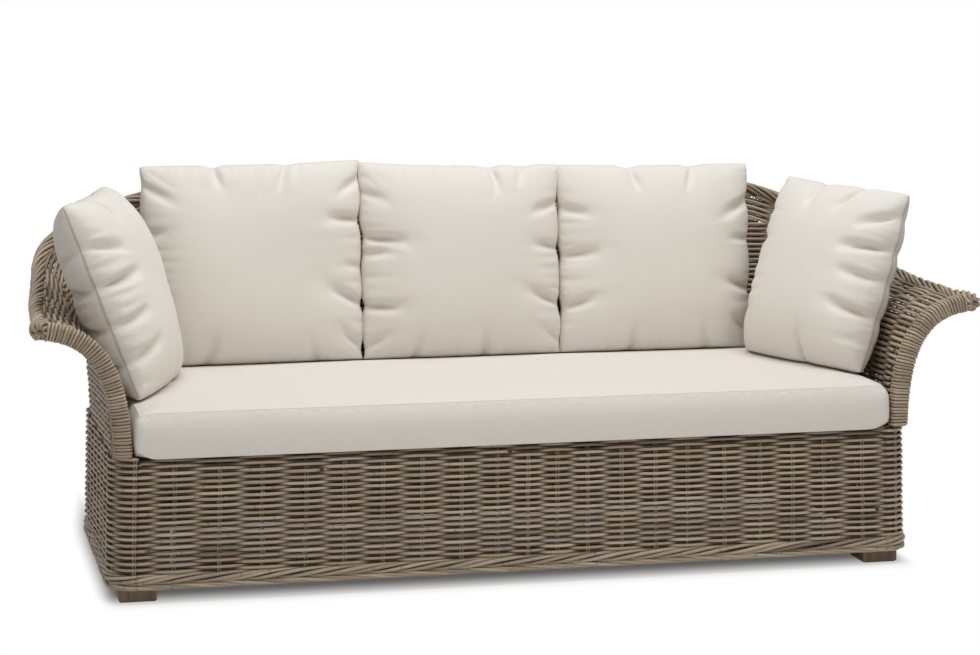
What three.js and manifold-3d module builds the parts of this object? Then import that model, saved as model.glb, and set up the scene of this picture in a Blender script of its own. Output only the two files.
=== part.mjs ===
// A three-seat rattan garden sofa: a woven base, arms and back on a timber frame, with a long
// seat cushion, three back cushions and two arm pillows that all lift off.
// Millimetres, +Z up, the seat faces -Y and the sofa's length runs along X.
// While it is built, y = 0 is the front face of the front feet and z = 0 is the ground. At the end
// the whole sofa moves along Y, so that its origin is the bottom centre of its bounding box.
import * as THREE from 'three';
import { mergeVertices } from 'three/addons/utils/BufferGeometryUtils.js';
import Module from 'manifold-3d';

const wasm = await Module();
wasm.setup();

// Air between two faces that touch on the real sofa
const CONTACT_GAP = 0.3;

// Timber frame
const FRAME_LENGTH = 1880;
const FRAME_DEPTH = 710;
const RAIL_TOP_HEIGHT = 315;
const POST_SIDE = 60;
const BOTTOM_RAIL_THICKNESS = 30;
const BOTTOM_RAIL_HEIGHT = 45;
const SEAT_RAIL_THICKNESS = 45;
const SEAT_RAIL_HEIGHT = 50;
const BEAM_THICKNESS = 45;
const BEAM_HEIGHT = 48;
const SLAT_COUNT = 9;
const SLAT_END_GAP = 90;
const SLAT_WIDTH = 100;
const SLAT_THICKNESS = 22;

// Feet, each held by one bolt from below
const FOOT_SIDE = 86;
const FOOT_RECESS = 14;
const FOOT_CHAMFER = 4;
const BOLT_DIAMETER = 8;
const BOLT_CLEARANCE = 0.6;
const BOLT_HEAD_DIAMETER = 16;
const BOLT_HEAD_HEIGHT = 5;
const BOLT_ENGAGEMENT = 40;
const COUNTERBORE_DIAMETER = 20;
const COUNTERBORE_DEPTH = 12;
const BOLT_SET_IN = 30;

// Weave, a layer that is full over each pair of upright stakes and thins to a waist between two
// pairs. The pairs are counted round half of the base, and round both arms and the back.
const WEAVE_THICKNESS = 18;
const WEAVE_WAIST = 9;
const BASE_STAKE_PAIRS = 29;
const UPPER_STAKE_PAIRS = 36;
const FIRST_STAKE_INSET = 73;

// Base weave, which hangs outside the frame
const BASE_CORNER_RADIUS = 55;
const WEAVE_ABOVE_RAIL = 25;
const BASE_FLARE = 10;
const APRON_ABOVE_RAIL = 18;
const APRON_ROUND_RADIUS = 22;
const BORDER_UNDERSIDE = 32;
const BORDER_HEIGHT = 38;
const BORDER_THICKNESS = 20;

// Arms and back: a layer that rises from the base and flares out to the rim
const UPPER_SIDE_OVERHANG = 5;
const UPPER_REAR_OVERHANG = 4;
const UPPER_CORNER_RADIUS = 90;
const RIM_DIAMETER = 34;
const RIM_FRONT = -46;
const RIM_TIP_RISE = 294;
const RIM_BACK_RISE = 545;
const ARM_FLARE = 162;
const BACK_FLARE = 89;
const ARM_RISE = 200;
const ARM_SCROLL = 125;
const ARM_SCROLL_RISE = 8;
const BACK_RISE = 190;
const BACK_LEAN = 40;
const BACK_LEAN_RISE = 160;

// Wrapped poles at the front of the arms, and plain poles inside the back
const ARM_POLE_WIDTH = 44;
const ARM_POLE_ROUND = 14;
const ARM_POLE_INSET = 17.5;
const ARM_WEAVE_CLEARANCE = 0.8;
const BACK_POLE_DIAMETER = 22;
const BACK_POLE_OFFSET = 300;

// Seat cushion
const SEAT_CUSHION_FRONT = -43;
const SEAT_CUSHION_HEIGHT = 105;
const SEAT_CUSHION_FRONT_CORNER = 25;
const SEAT_CUSHION_REAR_CORNER = 45;
const SEAT_CUSHION_CROWN = 14;
const SEAT_CUSHION_EDGE_ROUND = 12;
const SEAT_CUSHION_SIDE_CLEARANCE = 2.5;
const SEAT_CUSHION_REAR_CLEARANCE = 3.7;

// Back cushions, from left to right in a row whose middle is off the sofa's middle. Each is as wide
// as its share of the seat cushion's length.
const BACK_CUSHION_HEIGHT = 480;
const BACK_CUSHION_THICKNESS = 175;
const BACK_CUSHION_SPACING = 4;
const BACK_CUSHION_INSET = 110;
const BACK_ROW_OFFSET = -27;
const BACK_CUSHION_LEAN = THREE.MathUtils.degToRad(7.5);
const BACK_CUSHIONS = [
  { name: 'back_cushion_left', widthShare: 0.3012, heightShare: 1.025 },
  { name: 'back_cushion_centre', widthShare: 0.2813, heightShare: 1 },
  { name: 'back_cushion_right', widthShare: 0.2813, heightShare: 0.983 },
];

// Arm pillows. The middle of the lower edge stands inside the arm by a share of the pillow's
// thickness and back from the seat's front by a share of the seat's depth. It turns, and it leans
// out by a share of the arm's own lean.
const ARM_PILLOW_WIDTH = 420;
const ARM_PILLOW_HEIGHT = 457;
const ARM_PILLOW_THICKNESS = 180;
const ARM_PILLOWS = [
  {
    name: 'arm_pillow_left', side: -1, insetShare: 0.722, depthShare: 0.4847, heightShare: 1.02,
    turn: THREE.MathUtils.degToRad(17.5), leanShare: 0.6785,
  },
  {
    name: 'arm_pillow_right', side: 1, insetShare: 0.789, depthShare: 0.4903, heightShare: 0.98,
    turn: THREE.MathUtils.degToRad(23.5), leanShare: 0.6427,
  },
];
const PILLOW_SEAM_THICKNESS = 4;
const PILLOW_SIDE_INSET = 12;

// The rim's points from the right tip to the middle of the back, as shares of its half width, of its
// depth from the tip to the back and of its rise
const rimShares = [
  [1, 0, 0],
  [0.979, 0.588, 0.103],
  [0.935, 0.91, 0.459],
  [0.818, 1.026, 0.721],
  [0.623, 1.026, 0.94],
  [0.35, 1.004, 1.002],
  [0, 1, 1],
];
// Where along the rim, from its right tip to its left one, the arms end and the back begins
const armShare = 0.235;
// Where, from the arm's front to the middle of the back, the layer turns from the arm's scroll to the
// back's lean
const turnShares = [0.08, 0.62];

// Sides that stand out square from the frame
const FRAME_HALF = FRAME_LENGTH / 2;
const FRAME_FRONT = -FOOT_RECESS;
const FRAME_REAR = FRAME_FRONT + FRAME_DEPTH;
const WEAVE_OFFSET = CONTACT_GAP + WEAVE_THICKNESS / 2;
const BASE_HALF_WIDTH = FRAME_HALF + WEAVE_OFFSET;
const BASE_FRONT = FRAME_FRONT - WEAVE_OFFSET;
const BASE_REAR = FRAME_REAR + WEAVE_OFFSET;
const UPPER_HALF_WIDTH = FRAME_HALF + UPPER_SIDE_OVERHANG;
const UPPER_REAR = FRAME_REAR + UPPER_REAR_OVERHANG;
const BASE_WEAVE_TOP = RAIL_TOP_HEIGHT + WEAVE_ABOVE_RAIL;
const APRON_TOP = RAIL_TOP_HEIGHT + APRON_ABOVE_RAIL;
const RIM_HALF_WIDTH = UPPER_HALF_WIDTH + ARM_FLARE;
const RIM_REAR = UPPER_REAR + BACK_FLARE;
const RIM_TIP_HEIGHT = BASE_WEAVE_TOP + RIM_TIP_RISE;
const RIM_BACK_HEIGHT = BASE_WEAVE_TOP + RIM_BACK_RISE;
const ARM_POLE_X = UPPER_HALF_WIDTH - ARM_POLE_INSET;
const ARM_POLE_INNER = ARM_POLE_X - ARM_POLE_WIDTH / 2;
const STRAIGHT_HALF_LENGTH = BASE_HALF_WIDTH - BASE_CORNER_RADIUS - CONTACT_GAP;
const BORDER_TOP = BORDER_UNDERSIDE + BORDER_HEIGHT;
const BORDER_OFFSET = (BORDER_THICKNESS - WEAVE_THICKNESS) / 2;
const FRAME_CORNER_RADIUS = BASE_CORNER_RADIUS - WEAVE_OFFSET;
const FOOT_HEIGHT = BORDER_UNDERSIDE;
const SEAT_DECK = RAIL_TOP_HEIGHT + CONTACT_GAP + SLAT_THICKNESS;
const SEAT_CUSHION_BASE = SEAT_DECK + CONTACT_GAP;
const BACK_POLE_FRONT = UPPER_REAR - WEAVE_THICKNESS / 2 - 2 * CONTACT_GAP - BACK_POLE_DIAMETER;
const SEAT_CUSHION_REAR = BACK_POLE_FRONT - SEAT_CUSHION_REAR_CLEARANCE;
const SEAT_CUSHION_LENGTH = 2 * (ARM_POLE_INNER - SEAT_CUSHION_SIDE_CLEARANCE);
const SEAT_CUSHION_DEPTH = SEAT_CUSHION_REAR - SEAT_CUSHION_FRONT;

const FINISHES = {
  weave: { color: 0x8b7b67, roughness: 0.75, metalness: 0 },
  wrap: { color: 0x9a8871, roughness: 0.6, metalness: 0 },
  pole: { color: 0x9b8158, roughness: 0.6, metalness: 0 },
  foot: { color: 0x57473a, roughness: 0.55, metalness: 0 },
  timber: { color: 0x7a5f44, roughness: 0.7, metalness: 0 },
  steel: { color: 0xb4b6b8, roughness: 0.35, metalness: 1 },
  cloth: { color: 0xe6dfd0, roughness: 0.95, metalness: 0 },
};

const sofa = new THREE.Group();

function addMesh(name, geometry, finish) {
  const mesh = new THREE.Mesh(geometry, new THREE.MeshStandardMaterial(FINISHES[finish]));
  mesh.name = name;
  sofa.add(mesh);
  return mesh;
}

// A box between two corners
function blockGeometry([x0, y0, z0], [x1, y1, z1]) {
  const geometry = new THREE.BoxGeometry(x1 - x0, y1 - y0, z1 - z0);
  geometry.translate((x0 + x1) / 2, (y0 + y1) / 2, (z0 + z1) / 2);
  return geometry;
}

// The same box on the right (side 1) or on the left (side -1)
function sideBlock(side, [x0, y0, z0], [x1, y1, z1]) {
  const [low, high] = side > 0 ? [x0, x1] : [-x1, -x0];
  return blockGeometry([low, y0, z0], [high, y1, z1]);
}

// A copy of a geometry with positions alone
function stripped(geometry) {
  const bare = geometry.clone();
  bare.deleteAttribute('normal');
  bare.deleteAttribute('uv');
  return bare;
}

function toManifold(geometry) {
  const merged = mergeVertices(stripped(geometry));
  return new wasm.Manifold(new wasm.Mesh({
    numProp: 3,
    vertProperties: new Float32Array(merged.attributes.position.array),
    triVerts: new Uint32Array(merged.index.array),
  }));
}

function fromManifold(solid) {
  const mesh = solid.getMesh();
  const geometry = new THREE.BufferGeometry();
  geometry.setAttribute('position', new THREE.BufferAttribute(mesh.vertProperties, 3));
  geometry.setIndex(new THREE.BufferAttribute(mesh.triVerts, 1));
  geometry.computeVertexNormals();
  return geometry;
}

function subtract(geometry, cutters) {
  return fromManifold(cutters.reduce(
    (solid, cutter) => solid.subtract(toManifold(cutter)),
    toManifold(geometry),
  ));
}

// An upright round bar between two heights
function uprightCylinder(x, y, bottom, top, diameter) {
  const sides = 16;
  const geometry = new THREE.CylinderGeometry(diameter / 2, diameter / 2, top - bottom, sides);
  geometry.rotateX(Math.PI / 2);
  geometry.translate(x, y, (bottom + top) / 2);
  return geometry;
}

// A square post whose front right edge is rounded, to fill the corner of the weave
function postGeometry(bottom, top) {
  const half = POST_SIDE / 2;
  const section = new THREE.Shape();
  section.moveTo(-half, -half);
  section.lineTo(half - FRAME_CORNER_RADIUS, -half);
  section.absarc(half - FRAME_CORNER_RADIUS, FRAME_CORNER_RADIUS - half, FRAME_CORNER_RADIUS,
    -Math.PI / 2, 0, false);
  section.lineTo(half, half);
  section.lineTo(-half, half);
  section.closePath();
  const curveSegments = 6;
  const post = new THREE.ExtrudeGeometry(section, {
    depth: top - bottom, bevelEnabled: false, curveSegments,
  });
  post.translate(0, 0, bottom);
  return post;
}

function addFootAndPost(side, front) {
  const label = `${front ? 'front' : 'rear'}_${side > 0 ? 'right' : 'left'}`;
  const postStart = front ? FRAME_FRONT : FRAME_REAR - POST_SIDE;
  const footStart = front ? 0 : FRAME_REAR - FOOT_RECESS - FOOT_SIDE;
  const boltX = side * (FRAME_HALF - BOLT_SET_IN);
  const boltY = front ? FRAME_FRONT + BOLT_SET_IN + FOOT_RECESS / 2
    : FRAME_REAR - BOLT_SET_IN - FOOT_RECESS / 2;
  const boltTop = FOOT_HEIGHT + CONTACT_GAP + BOLT_ENGAGEMENT;
  const bore = BOLT_DIAMETER + 2 * BOLT_CLEARANCE;

  const square = new THREE.Shape();
  const inner = FOOT_SIDE / 2 - FOOT_CHAMFER;
  square.moveTo(-inner, -inner);
  square.lineTo(inner, -inner);
  square.lineTo(inner, inner);
  square.lineTo(-inner, inner);
  square.closePath();
  const foot = new THREE.ExtrudeGeometry(square, {
    depth: FOOT_HEIGHT - 2 * FOOT_CHAMFER,
    bevelThickness: FOOT_CHAMFER,
    bevelSize: FOOT_CHAMFER,
    bevelSegments: 1,
  });
  foot.translate(side * (FRAME_HALF - FOOT_SIDE / 2), footStart + FOOT_SIDE / 2, FOOT_CHAMFER);
  addMesh(`foot_${label}`, subtract(foot, [
    uprightCylinder(boltX, boltY, -CONTACT_GAP, FOOT_HEIGHT + CONTACT_GAP, bore),
    uprightCylinder(boltX, boltY, -CONTACT_GAP, COUNTERBORE_DEPTH, COUNTERBORE_DIAMETER),
  ]), 'foot');

  const postBottom = FOOT_HEIGHT + CONTACT_GAP;
  const post = postGeometry(postBottom, RAIL_TOP_HEIGHT);
  if (!front) post.rotateZ(Math.PI / 2);
  if (side < 0) post.rotateZ(front ? -Math.PI / 2 : Math.PI / 2);
  post.translate(side * (FRAME_HALF - POST_SIDE / 2), postStart + POST_SIDE / 2, 0);
  addMesh(`corner_post_${label}`, subtract(post, [
    uprightCylinder(boltX, boltY, postBottom - CONTACT_GAP, boltTop + CONTACT_GAP, bore),
  ]), 'timber');

  const headTop = COUNTERBORE_DEPTH - CONTACT_GAP;
  const profile = [
    [0, headTop - BOLT_HEAD_HEIGHT],
    [BOLT_HEAD_DIAMETER / 2, headTop - BOLT_HEAD_HEIGHT],
    [BOLT_HEAD_DIAMETER / 2, headTop],
    [BOLT_DIAMETER / 2, headTop],
    [BOLT_DIAMETER / 2, boltTop],
    [0, boltTop],
  ].map(([radius, height]) => new THREE.Vector2(radius, height));
  const boltSides = 12;
  const bolt = new THREE.LatheGeometry(profile, boltSides);
  bolt.rotateX(Math.PI / 2);
  bolt.translate(boltX, boltY, 0);
  addMesh(`foot_bolt_${label}`, bolt, 'steel');
}

function addRails() {
  const railEnd = FRAME_HALF - POST_SIDE - CONTACT_GAP;
  const levels = [
    ['bottom_rail', FOOT_HEIGHT + CONTACT_GAP, BOTTOM_RAIL_HEIGHT, BOTTOM_RAIL_THICKNESS],
    ['seat_rail', RAIL_TOP_HEIGHT - SEAT_RAIL_HEIGHT, SEAT_RAIL_HEIGHT, SEAT_RAIL_THICKNESS],
  ];
  for (const [name, bottom, height, thickness] of levels) {
    addMesh(`${name}_front`, blockGeometry([-railEnd, FRAME_FRONT, bottom],
      [railEnd, FRAME_FRONT + thickness, bottom + height]), 'timber');
    addMesh(`${name}_rear`, blockGeometry([-railEnd, FRAME_REAR - thickness, bottom],
      [railEnd, FRAME_REAR, bottom + height]), 'timber');
    for (const side of [-1, 1]) {
      addMesh(`${name}_${side > 0 ? 'right' : 'left'}`, sideBlock(side,
        [FRAME_HALF - thickness, FRAME_FRONT + POST_SIDE + CONTACT_GAP, bottom],
        [FRAME_HALF, FRAME_REAR - POST_SIDE - CONTACT_GAP, bottom + height]), 'timber');
    }
  }
}

function addSeatDeck() {
  const beamMiddle = (FRAME_FRONT + FRAME_REAR) / 2;
  const beamEnd = FRAME_HALF - SEAT_RAIL_THICKNESS - CONTACT_GAP;
  addMesh('centre_beam', blockGeometry(
    [-beamEnd, beamMiddle - BEAM_THICKNESS / 2, RAIL_TOP_HEIGHT - BEAM_HEIGHT],
    [beamEnd, beamMiddle + BEAM_THICKNESS / 2, RAIL_TOP_HEIGHT]), 'timber');

  const slatFront = BASE_FRONT + APRON_ROUND_RADIUS + WEAVE_THICKNESS / 2 + CONTACT_GAP;
  const slatBottom = RAIL_TOP_HEIGHT + CONTACT_GAP;
  const pitch = (FRAME_LENGTH - 2 * SLAT_END_GAP - SLAT_WIDTH) / (SLAT_COUNT - 1);
  for (let index = 0; index < SLAT_COUNT; index += 1) {
    const x = (index - (SLAT_COUNT - 1) / 2) * pitch;
    addMesh(`seat_slat_${index + 1}`, blockGeometry(
      [x - SLAT_WIDTH / 2, slatFront, slatBottom],
      [x + SLAT_WIDTH / 2, BACK_POLE_FRONT - CONTACT_GAP, SEAT_DECK]), 'timber');
  }
}

// Even stops from 0 to 1
function evenStops(count) {
  return Array.from({ length: count + 1 }, (_, index) => index / count);
}

// Stops along a plan outline: a few on each straight run, more round each arc
function planStops(plan, straightCount, arcCount) {
  const lengths = plan.getCurveLengths();
  const total = lengths[lengths.length - 1];
  const stops = [0];
  plan.curves.forEach((curve, index) => {
    const from = index > 0 ? lengths[index - 1] : 0;
    const count = curve.isLineCurve ? straightCount : arcCount;
    for (let k = 1; k <= count; k += 1) {
      stops.push((from + (lengths[index] - from) * k / count) / total);
    }
  });
  return stops;
}

// How thick the weave is at a distance along its foot: full at the first pair of stakes and after
// each pitch, and down to the waist halfway between
function weaveThickness(distance, firstStake, pitch) {
  const steps = Math.abs(distance - firstStake) / pitch;
  const fullness = Math.abs(2 * (steps - Math.floor(steps)) - 1);
  return WEAVE_WAIST + (WEAVE_THICKNESS - WEAVE_WAIST) * fullness;
}

// Where the stake pairs and the waists between them lie from 0 to a length, with both ends
function ribPlaces(length, firstStake, pitch) {
  const half = pitch / 2;
  const before = Math.ceil(firstStake / half);
  const places = [0];
  for (let k = -before; firstStake + k * half < length - CONTACT_GAP; k += 1) {
    if (firstStake + k * half > CONTACT_GAP) places.push(firstStake + k * half);
  }
  return [...places, length];
}

// Two lists of stops in one, without those that nearly meet
function mergedStops(first, second) {
  const nearShare = 5e-3;
  const taken = second.filter((stop) => first.every((other) => Math.abs(other - stop) > nearShare));
  return [...first, ...taken].sort((a, b) => a - b);
}

// A layer round a surface that takes two shares from 0 to 1, as one closed body. Its corners stand on
// the surface's normals, half the thickness out and half in, and the thickness is a function of the
// first share.
function layerGeometry(surface, stops, upCount, thickness) {
  const nudgeShare = 1e-3;
  const alongCount = stops.length - 1;
  const row = upCount + 1;
  const sideSize = (alongCount + 1) * row;
  const positions = [];
  for (const side of [1, -1]) {
    for (let i = 0; i <= alongCount; i += 1) {
      for (let j = 0; j <= upCount; j += 1) {
        const along = stops[i];
        const up = j / upCount;
        const middle = surface(along, up);
        const alongStep = surface(Math.min(along + nudgeShare, 1), up)
          .sub(surface(Math.max(along - nudgeShare, 0), up));
        const upStep = surface(along, Math.min(up + nudgeShare, 1))
          .sub(surface(along, Math.max(up - nudgeShare, 0)));
        const normal = alongStep.cross(upStep).normalize();
        positions.push(...middle.addScaledVector(normal, side * thickness(along) / 2).toArray());
      }
    }
  }
  const quads = [];
  for (let i = 0; i < alongCount; i += 1) {
    for (let j = 0; j < upCount; j += 1) {
      const a = i * row + j;
      quads.push([a, a + row, a + row + 1, a + 1]);
      quads.push([a + sideSize + 1, a + sideSize + row + 1, a + sideSize + row, a + sideSize]);
    }
    const low = i * row;
    const high = low + upCount;
    quads.push([low + row, low, low + sideSize, low + sideSize + row]);
    quads.push([high, high + row, high + sideSize + row, high + sideSize]);
  }
  for (let j = 0; j < upCount; j += 1) {
    const last = alongCount * row + j;
    quads.push([j, j + 1, j + sideSize + 1, j + sideSize]);
    quads.push([last + 1, last, last + sideSize, last + sideSize + 1]);
  }
  const triangles = quads.flatMap(([a, b, c, d]) => [a, b, c, a, c, d]);
  return outwardGeometry(positions, triangles);
}

// A geometry whose triangles are turned round if they enclose a negative volume
function outwardGeometry(positions, triangles) {
  const corner = (index) => new THREE.Vector3().fromArray(positions, 3 * index);
  let volume = 0;
  for (let k = 0; k < triangles.length; k += 3) {
    volume += corner(triangles[k])
      .dot(corner(triangles[k + 1]).cross(corner(triangles[k + 2])));
  }
  const geometry = new THREE.BufferGeometry();
  geometry.setAttribute('position', new THREE.Float32BufferAttribute(positions, 3));
  geometry.setIndex(volume < 0 ? triangles.reverse() : triangles);
  geometry.computeVertexNormals();
  return geometry;
}

// Plan outline of one side of the base, from the start of the front corner to the end of the rear
// one, on the middle of the weave or that far outside it
function basePlan(offset) {
  const corner = BASE_HALF_WIDTH - BASE_CORNER_RADIUS;
  const radius = BASE_CORNER_RADIUS + offset;
  const plan = new THREE.Path();
  plan.moveTo(corner, BASE_FRONT - offset);
  plan.absarc(corner, BASE_FRONT + BASE_CORNER_RADIUS, radius, -Math.PI / 2, 0, false);
  plan.lineTo(BASE_HALF_WIDTH + offset, BASE_REAR - BASE_CORNER_RADIUS);
  plan.absarc(corner, BASE_REAR - BASE_CORNER_RADIUS, radius, 0, Math.PI / 2, false);
  return plan;
}

// A side of the base between two heights: it flares out a little towards the ground
function baseSideSurface(side, bottom, top, offset) {
  const plan = basePlan(offset);
  return (along, up) => {
    const point = plan.getPoint(along);
    const height = bottom + (top - bottom) * up;
    const drop = (BASE_WEAVE_TOP - height) / (BASE_WEAVE_TOP - BORDER_UNDERSIDE);
    const x = point.x + BASE_FLARE * drop * (point.x / BASE_HALF_WIDTH);
    return new THREE.Vector3(side * x, point.y, height);
  };
}

function addBaseWeave() {
  const weaveBottom = BORDER_TOP + CONTACT_GAP;
  const straightCount = 2;
  const arcCount = 8;
  const plan = basePlan(0);
  const stops = planStops(plan, straightCount, arcCount);
  const sideLength = plan.getLength();
  const front = 2 * STRAIGHT_HALF_LENGTH;
  const pitch = (front + sideLength) / BASE_STAKE_PAIRS;
  // The first pair stands half a pitch from the middle of the front
  const firstStake = STRAIGHT_HALF_LENGTH + pitch / 2;
  const sideRibs = ribPlaces(sideLength, firstStake - front, pitch).map((place) => place / sideLength);
  const sideThickness = (along) => weaveThickness(front + along * sideLength, firstStake, pitch);
  for (const side of [-1, 1]) {
    const label = side > 0 ? 'right' : 'left';
    addMesh(`side_weave_${label}`, layerGeometry(
      baseSideSurface(side, weaveBottom, BASE_WEAVE_TOP, 0), mergedStops(stops, sideRibs), 1,
      sideThickness), 'weave');
    addMesh(`base_border_${label}`, layerGeometry(
      baseSideSurface(side, BORDER_UNDERSIDE, BORDER_TOP, BORDER_OFFSET),
      stops, 1, () => BORDER_THICKNESS), 'weave');
  }

  const fronts = [['front', BASE_FRONT - BORDER_OFFSET], ['rear', BASE_REAR + BORDER_OFFSET]];
  for (const [label, y] of fronts) {
    addMesh(`base_border_${label}`, blockGeometry(
      [-STRAIGHT_HALF_LENGTH, y - BORDER_THICKNESS / 2, BORDER_UNDERSIDE],
      [STRAIGHT_HALF_LENGTH, y + BORDER_THICKNESS / 2, BORDER_TOP]), 'weave');
  }
  const frontPlaces = ribPlaces(front, firstStake, pitch);
  const frontThickness = (place) => weaveThickness(place, firstStake, pitch);
  addMesh('rear_weave', layerGeometry(
    (along, up) => new THREE.Vector3((along - 1 / 2) * front, BASE_REAR,
      weaveBottom + (BASE_WEAVE_TOP - weaveBottom) * up),
    frontPlaces.map((place) => place / front), 1, (along) => frontThickness(along * front)), 'weave');
  addMesh('front_apron_weave', apronGeometry(weaveBottom, frontPlaces, frontThickness), 'weave');
}

// The apron rises in front of the seat rail and rounds over on top of it. Its outline is carried from
// place to place along the front, where its outer side draws in with the weave's thickness.
function apronGeometry(weaveBottom, places, thickness) {
  const outer = APRON_ROUND_RADIUS + WEAVE_THICKNESS / 2;
  const centreY = BASE_FRONT + APRON_ROUND_RADIUS;
  const centreZ = APRON_TOP - outer;
  const topRear = centreY + WEAVE_THICKNESS / 2;
  const railTop = RAIL_TOP_HEIGHT + CONTACT_GAP;
  const arcCount = 4;
  const outline = (place) => {
    const radius = APRON_ROUND_RADIUS + thickness(place) / 2;
    const arc = evenStops(arcCount).map((stop) => stop * Math.PI / 2).map((angle) => (
      [centreY - radius * Math.cos(angle), centreZ + radius * Math.sin(angle)]));
    return [
      [centreY - radius, weaveBottom],
      ...arc,
      [topRear, centreZ + radius],
      [topRear, railTop],
      [FRAME_FRONT - CONTACT_GAP, railTop],
      [FRAME_FRONT - CONTACT_GAP, weaveBottom],
    ];
  };
  const outlines = places.map(outline);
  const count = outlines[0].length;
  const positions = outlines.flatMap((points, index) => (
    points.flatMap(([y, z]) => [places[index] - STRAIGHT_HALF_LENGTH, y, z])));
  const triangles = [];
  for (let i = 0; i < places.length - 1; i += 1) {
    for (let k = 0; k < count; k += 1) {
      const a = i * count + k;
      const b = i * count + (k + 1) % count;
      triangles.push(a, a + count, b + count, a, b + count, b);
    }
  }
  const ends = [[0, true], [places.length - 1, false]];
  for (const [index, turned] of ends) {
    const contour = outlines[index].map(([y, z]) => new THREE.Vector2(y, z));
    for (const corners of THREE.ShapeUtils.triangulateShape(contour, [])) {
      const [a, b, c] = corners.map((corner) => index * count + corner);
      triangles.push(...(turned ? [a, c, b] : [a, b, c]));
    }
  }
  return outwardGeometry(positions, triangles);
}

const rimDepth = RIM_REAR - RIM_FRONT;
const rimRise = RIM_BACK_HEIGHT - RIM_TIP_HEIGHT;
const rimRight = rimShares.map(([x, y, z]) => new THREE.Vector3(
  x * RIM_HALF_WIDTH, RIM_FRONT + y * rimDepth, RIM_TIP_HEIGHT + z * rimRise));
const rimLeft = rimRight.slice(0, -1).reverse()
  .map((point) => new THREE.Vector3(-point.x, point.y, point.z));
// The rim from the right tip round the back to the left tip, by share of its length
const rimCurve = new THREE.CatmullRomCurve3([...rimRight, ...rimLeft], false, 'centripetal');
const rimLength = rimCurve.getLength();

// A stretch of the rim between two shares of its length
class RimStretch extends THREE.Curve {
  constructor(from, to) {
    super();
    this.from = from;
    this.to = to;
  }

  getPoint(share) {
    return rimCurve.getPointAt(this.from + (this.to - this.from) * share);
  }
}

// The foot of the arms and back in plan: half of the U from the right arm's front to the middle
const upperPlan = new THREE.Path();
upperPlan.moveTo(UPPER_HALF_WIDTH, ARM_WEAVE_CLEARANCE);
upperPlan.lineTo(UPPER_HALF_WIDTH, UPPER_REAR - UPPER_CORNER_RADIUS);
upperPlan.absarc(UPPER_HALF_WIDTH - UPPER_CORNER_RADIUS, UPPER_REAR - UPPER_CORNER_RADIUS,
  UPPER_CORNER_RADIUS, 0, Math.PI / 2, false);
upperPlan.lineTo(0, UPPER_REAR);

// Where the rim has come as far back as the front edge of the arm's weave
const rimStartShare = (ARM_WEAVE_CLEARANCE - RIM_FRONT) / rimLength;

// The middle of the upper layer: a cubic from the base to the middle of the rim. Its handles turn from
// the arm's scroll, which runs out sideways at the top, to the back's lean.
function upperSurface(share, up) {
  const half = Math.min(share, 1 - share) * 2;
  const side = share > 0.5 ? -1 : 1;
  const foot = upperPlan.getPoint(half);
  const start = new THREE.Vector3(foot.x, foot.y, BASE_WEAVE_TOP + CONTACT_GAP);
  const rim = rimCurve.getPointAt(rimStartShare + (0.5 - rimStartShare) * half);
  const blend = THREE.MathUtils.smoothstep(half, ...turnShares);
  const turn = blend * Math.PI / 2;
  const scroll = new THREE.Vector3(ARM_SCROLL * Math.cos(turn), BACK_LEAN * Math.sin(turn),
    THREE.MathUtils.lerp(ARM_SCROLL_RISE, BACK_LEAN_RISE, blend));
  const rise = new THREE.Vector3(0, 0, THREE.MathUtils.lerp(ARM_RISE, BACK_RISE, blend));
  const curve = new THREE.CubicBezierCurve3(
    start, start.clone().add(rise), rim.clone().sub(scroll), rim);
  const point = curve.getPoint(up);
  point.x *= side;
  return point;
}

function circleShape(diameter) {
  const shape = new THREE.Shape();
  shape.absarc(0, 0, diameter / 2, 0, 2 * Math.PI, false);
  return shape;
}

// A round bar along a curve
function barGeometry(extrudePath, diameter, steps) {
  const halfSides = 7;
  return new THREE.ExtrudeGeometry(circleShape(diameter), {
    extrudePath,
    steps,
    curveSegments: halfSides,
    bevelEnabled: false,
  });
}

// The same geometry on the other side of the sofa
function mirrored(geometry) {
  const copy = mergeVertices(stripped(geometry));
  copy.scale(-1, 1, 1);
  copy.index.array.reverse();
  copy.computeVertexNormals();
  return copy;
}

// The rim in three pieces, each a round bar of this diameter along its stretch of the rim
const gapShare = CONTACT_GAP / 2 / rimLength;
const armEnd = armShare - gapShare;
const backStart = armShare + gapShare;

function rimPieces(diameter) {
  const armSteps = 16;
  const backSteps = 32;
  const right = barGeometry(new RimStretch(0, armEnd), diameter, armSteps);
  const back = barGeometry(new RimStretch(backStart, 1 - backStart), diameter, backSteps);
  return { right, back, left: mirrored(right) };
}

// The round grooves that the rim's pieces leave in what runs up to them
const rimGrooves = Object.values(rimPieces(RIM_DIAMETER + 2 * CONTACT_GAP));

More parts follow.
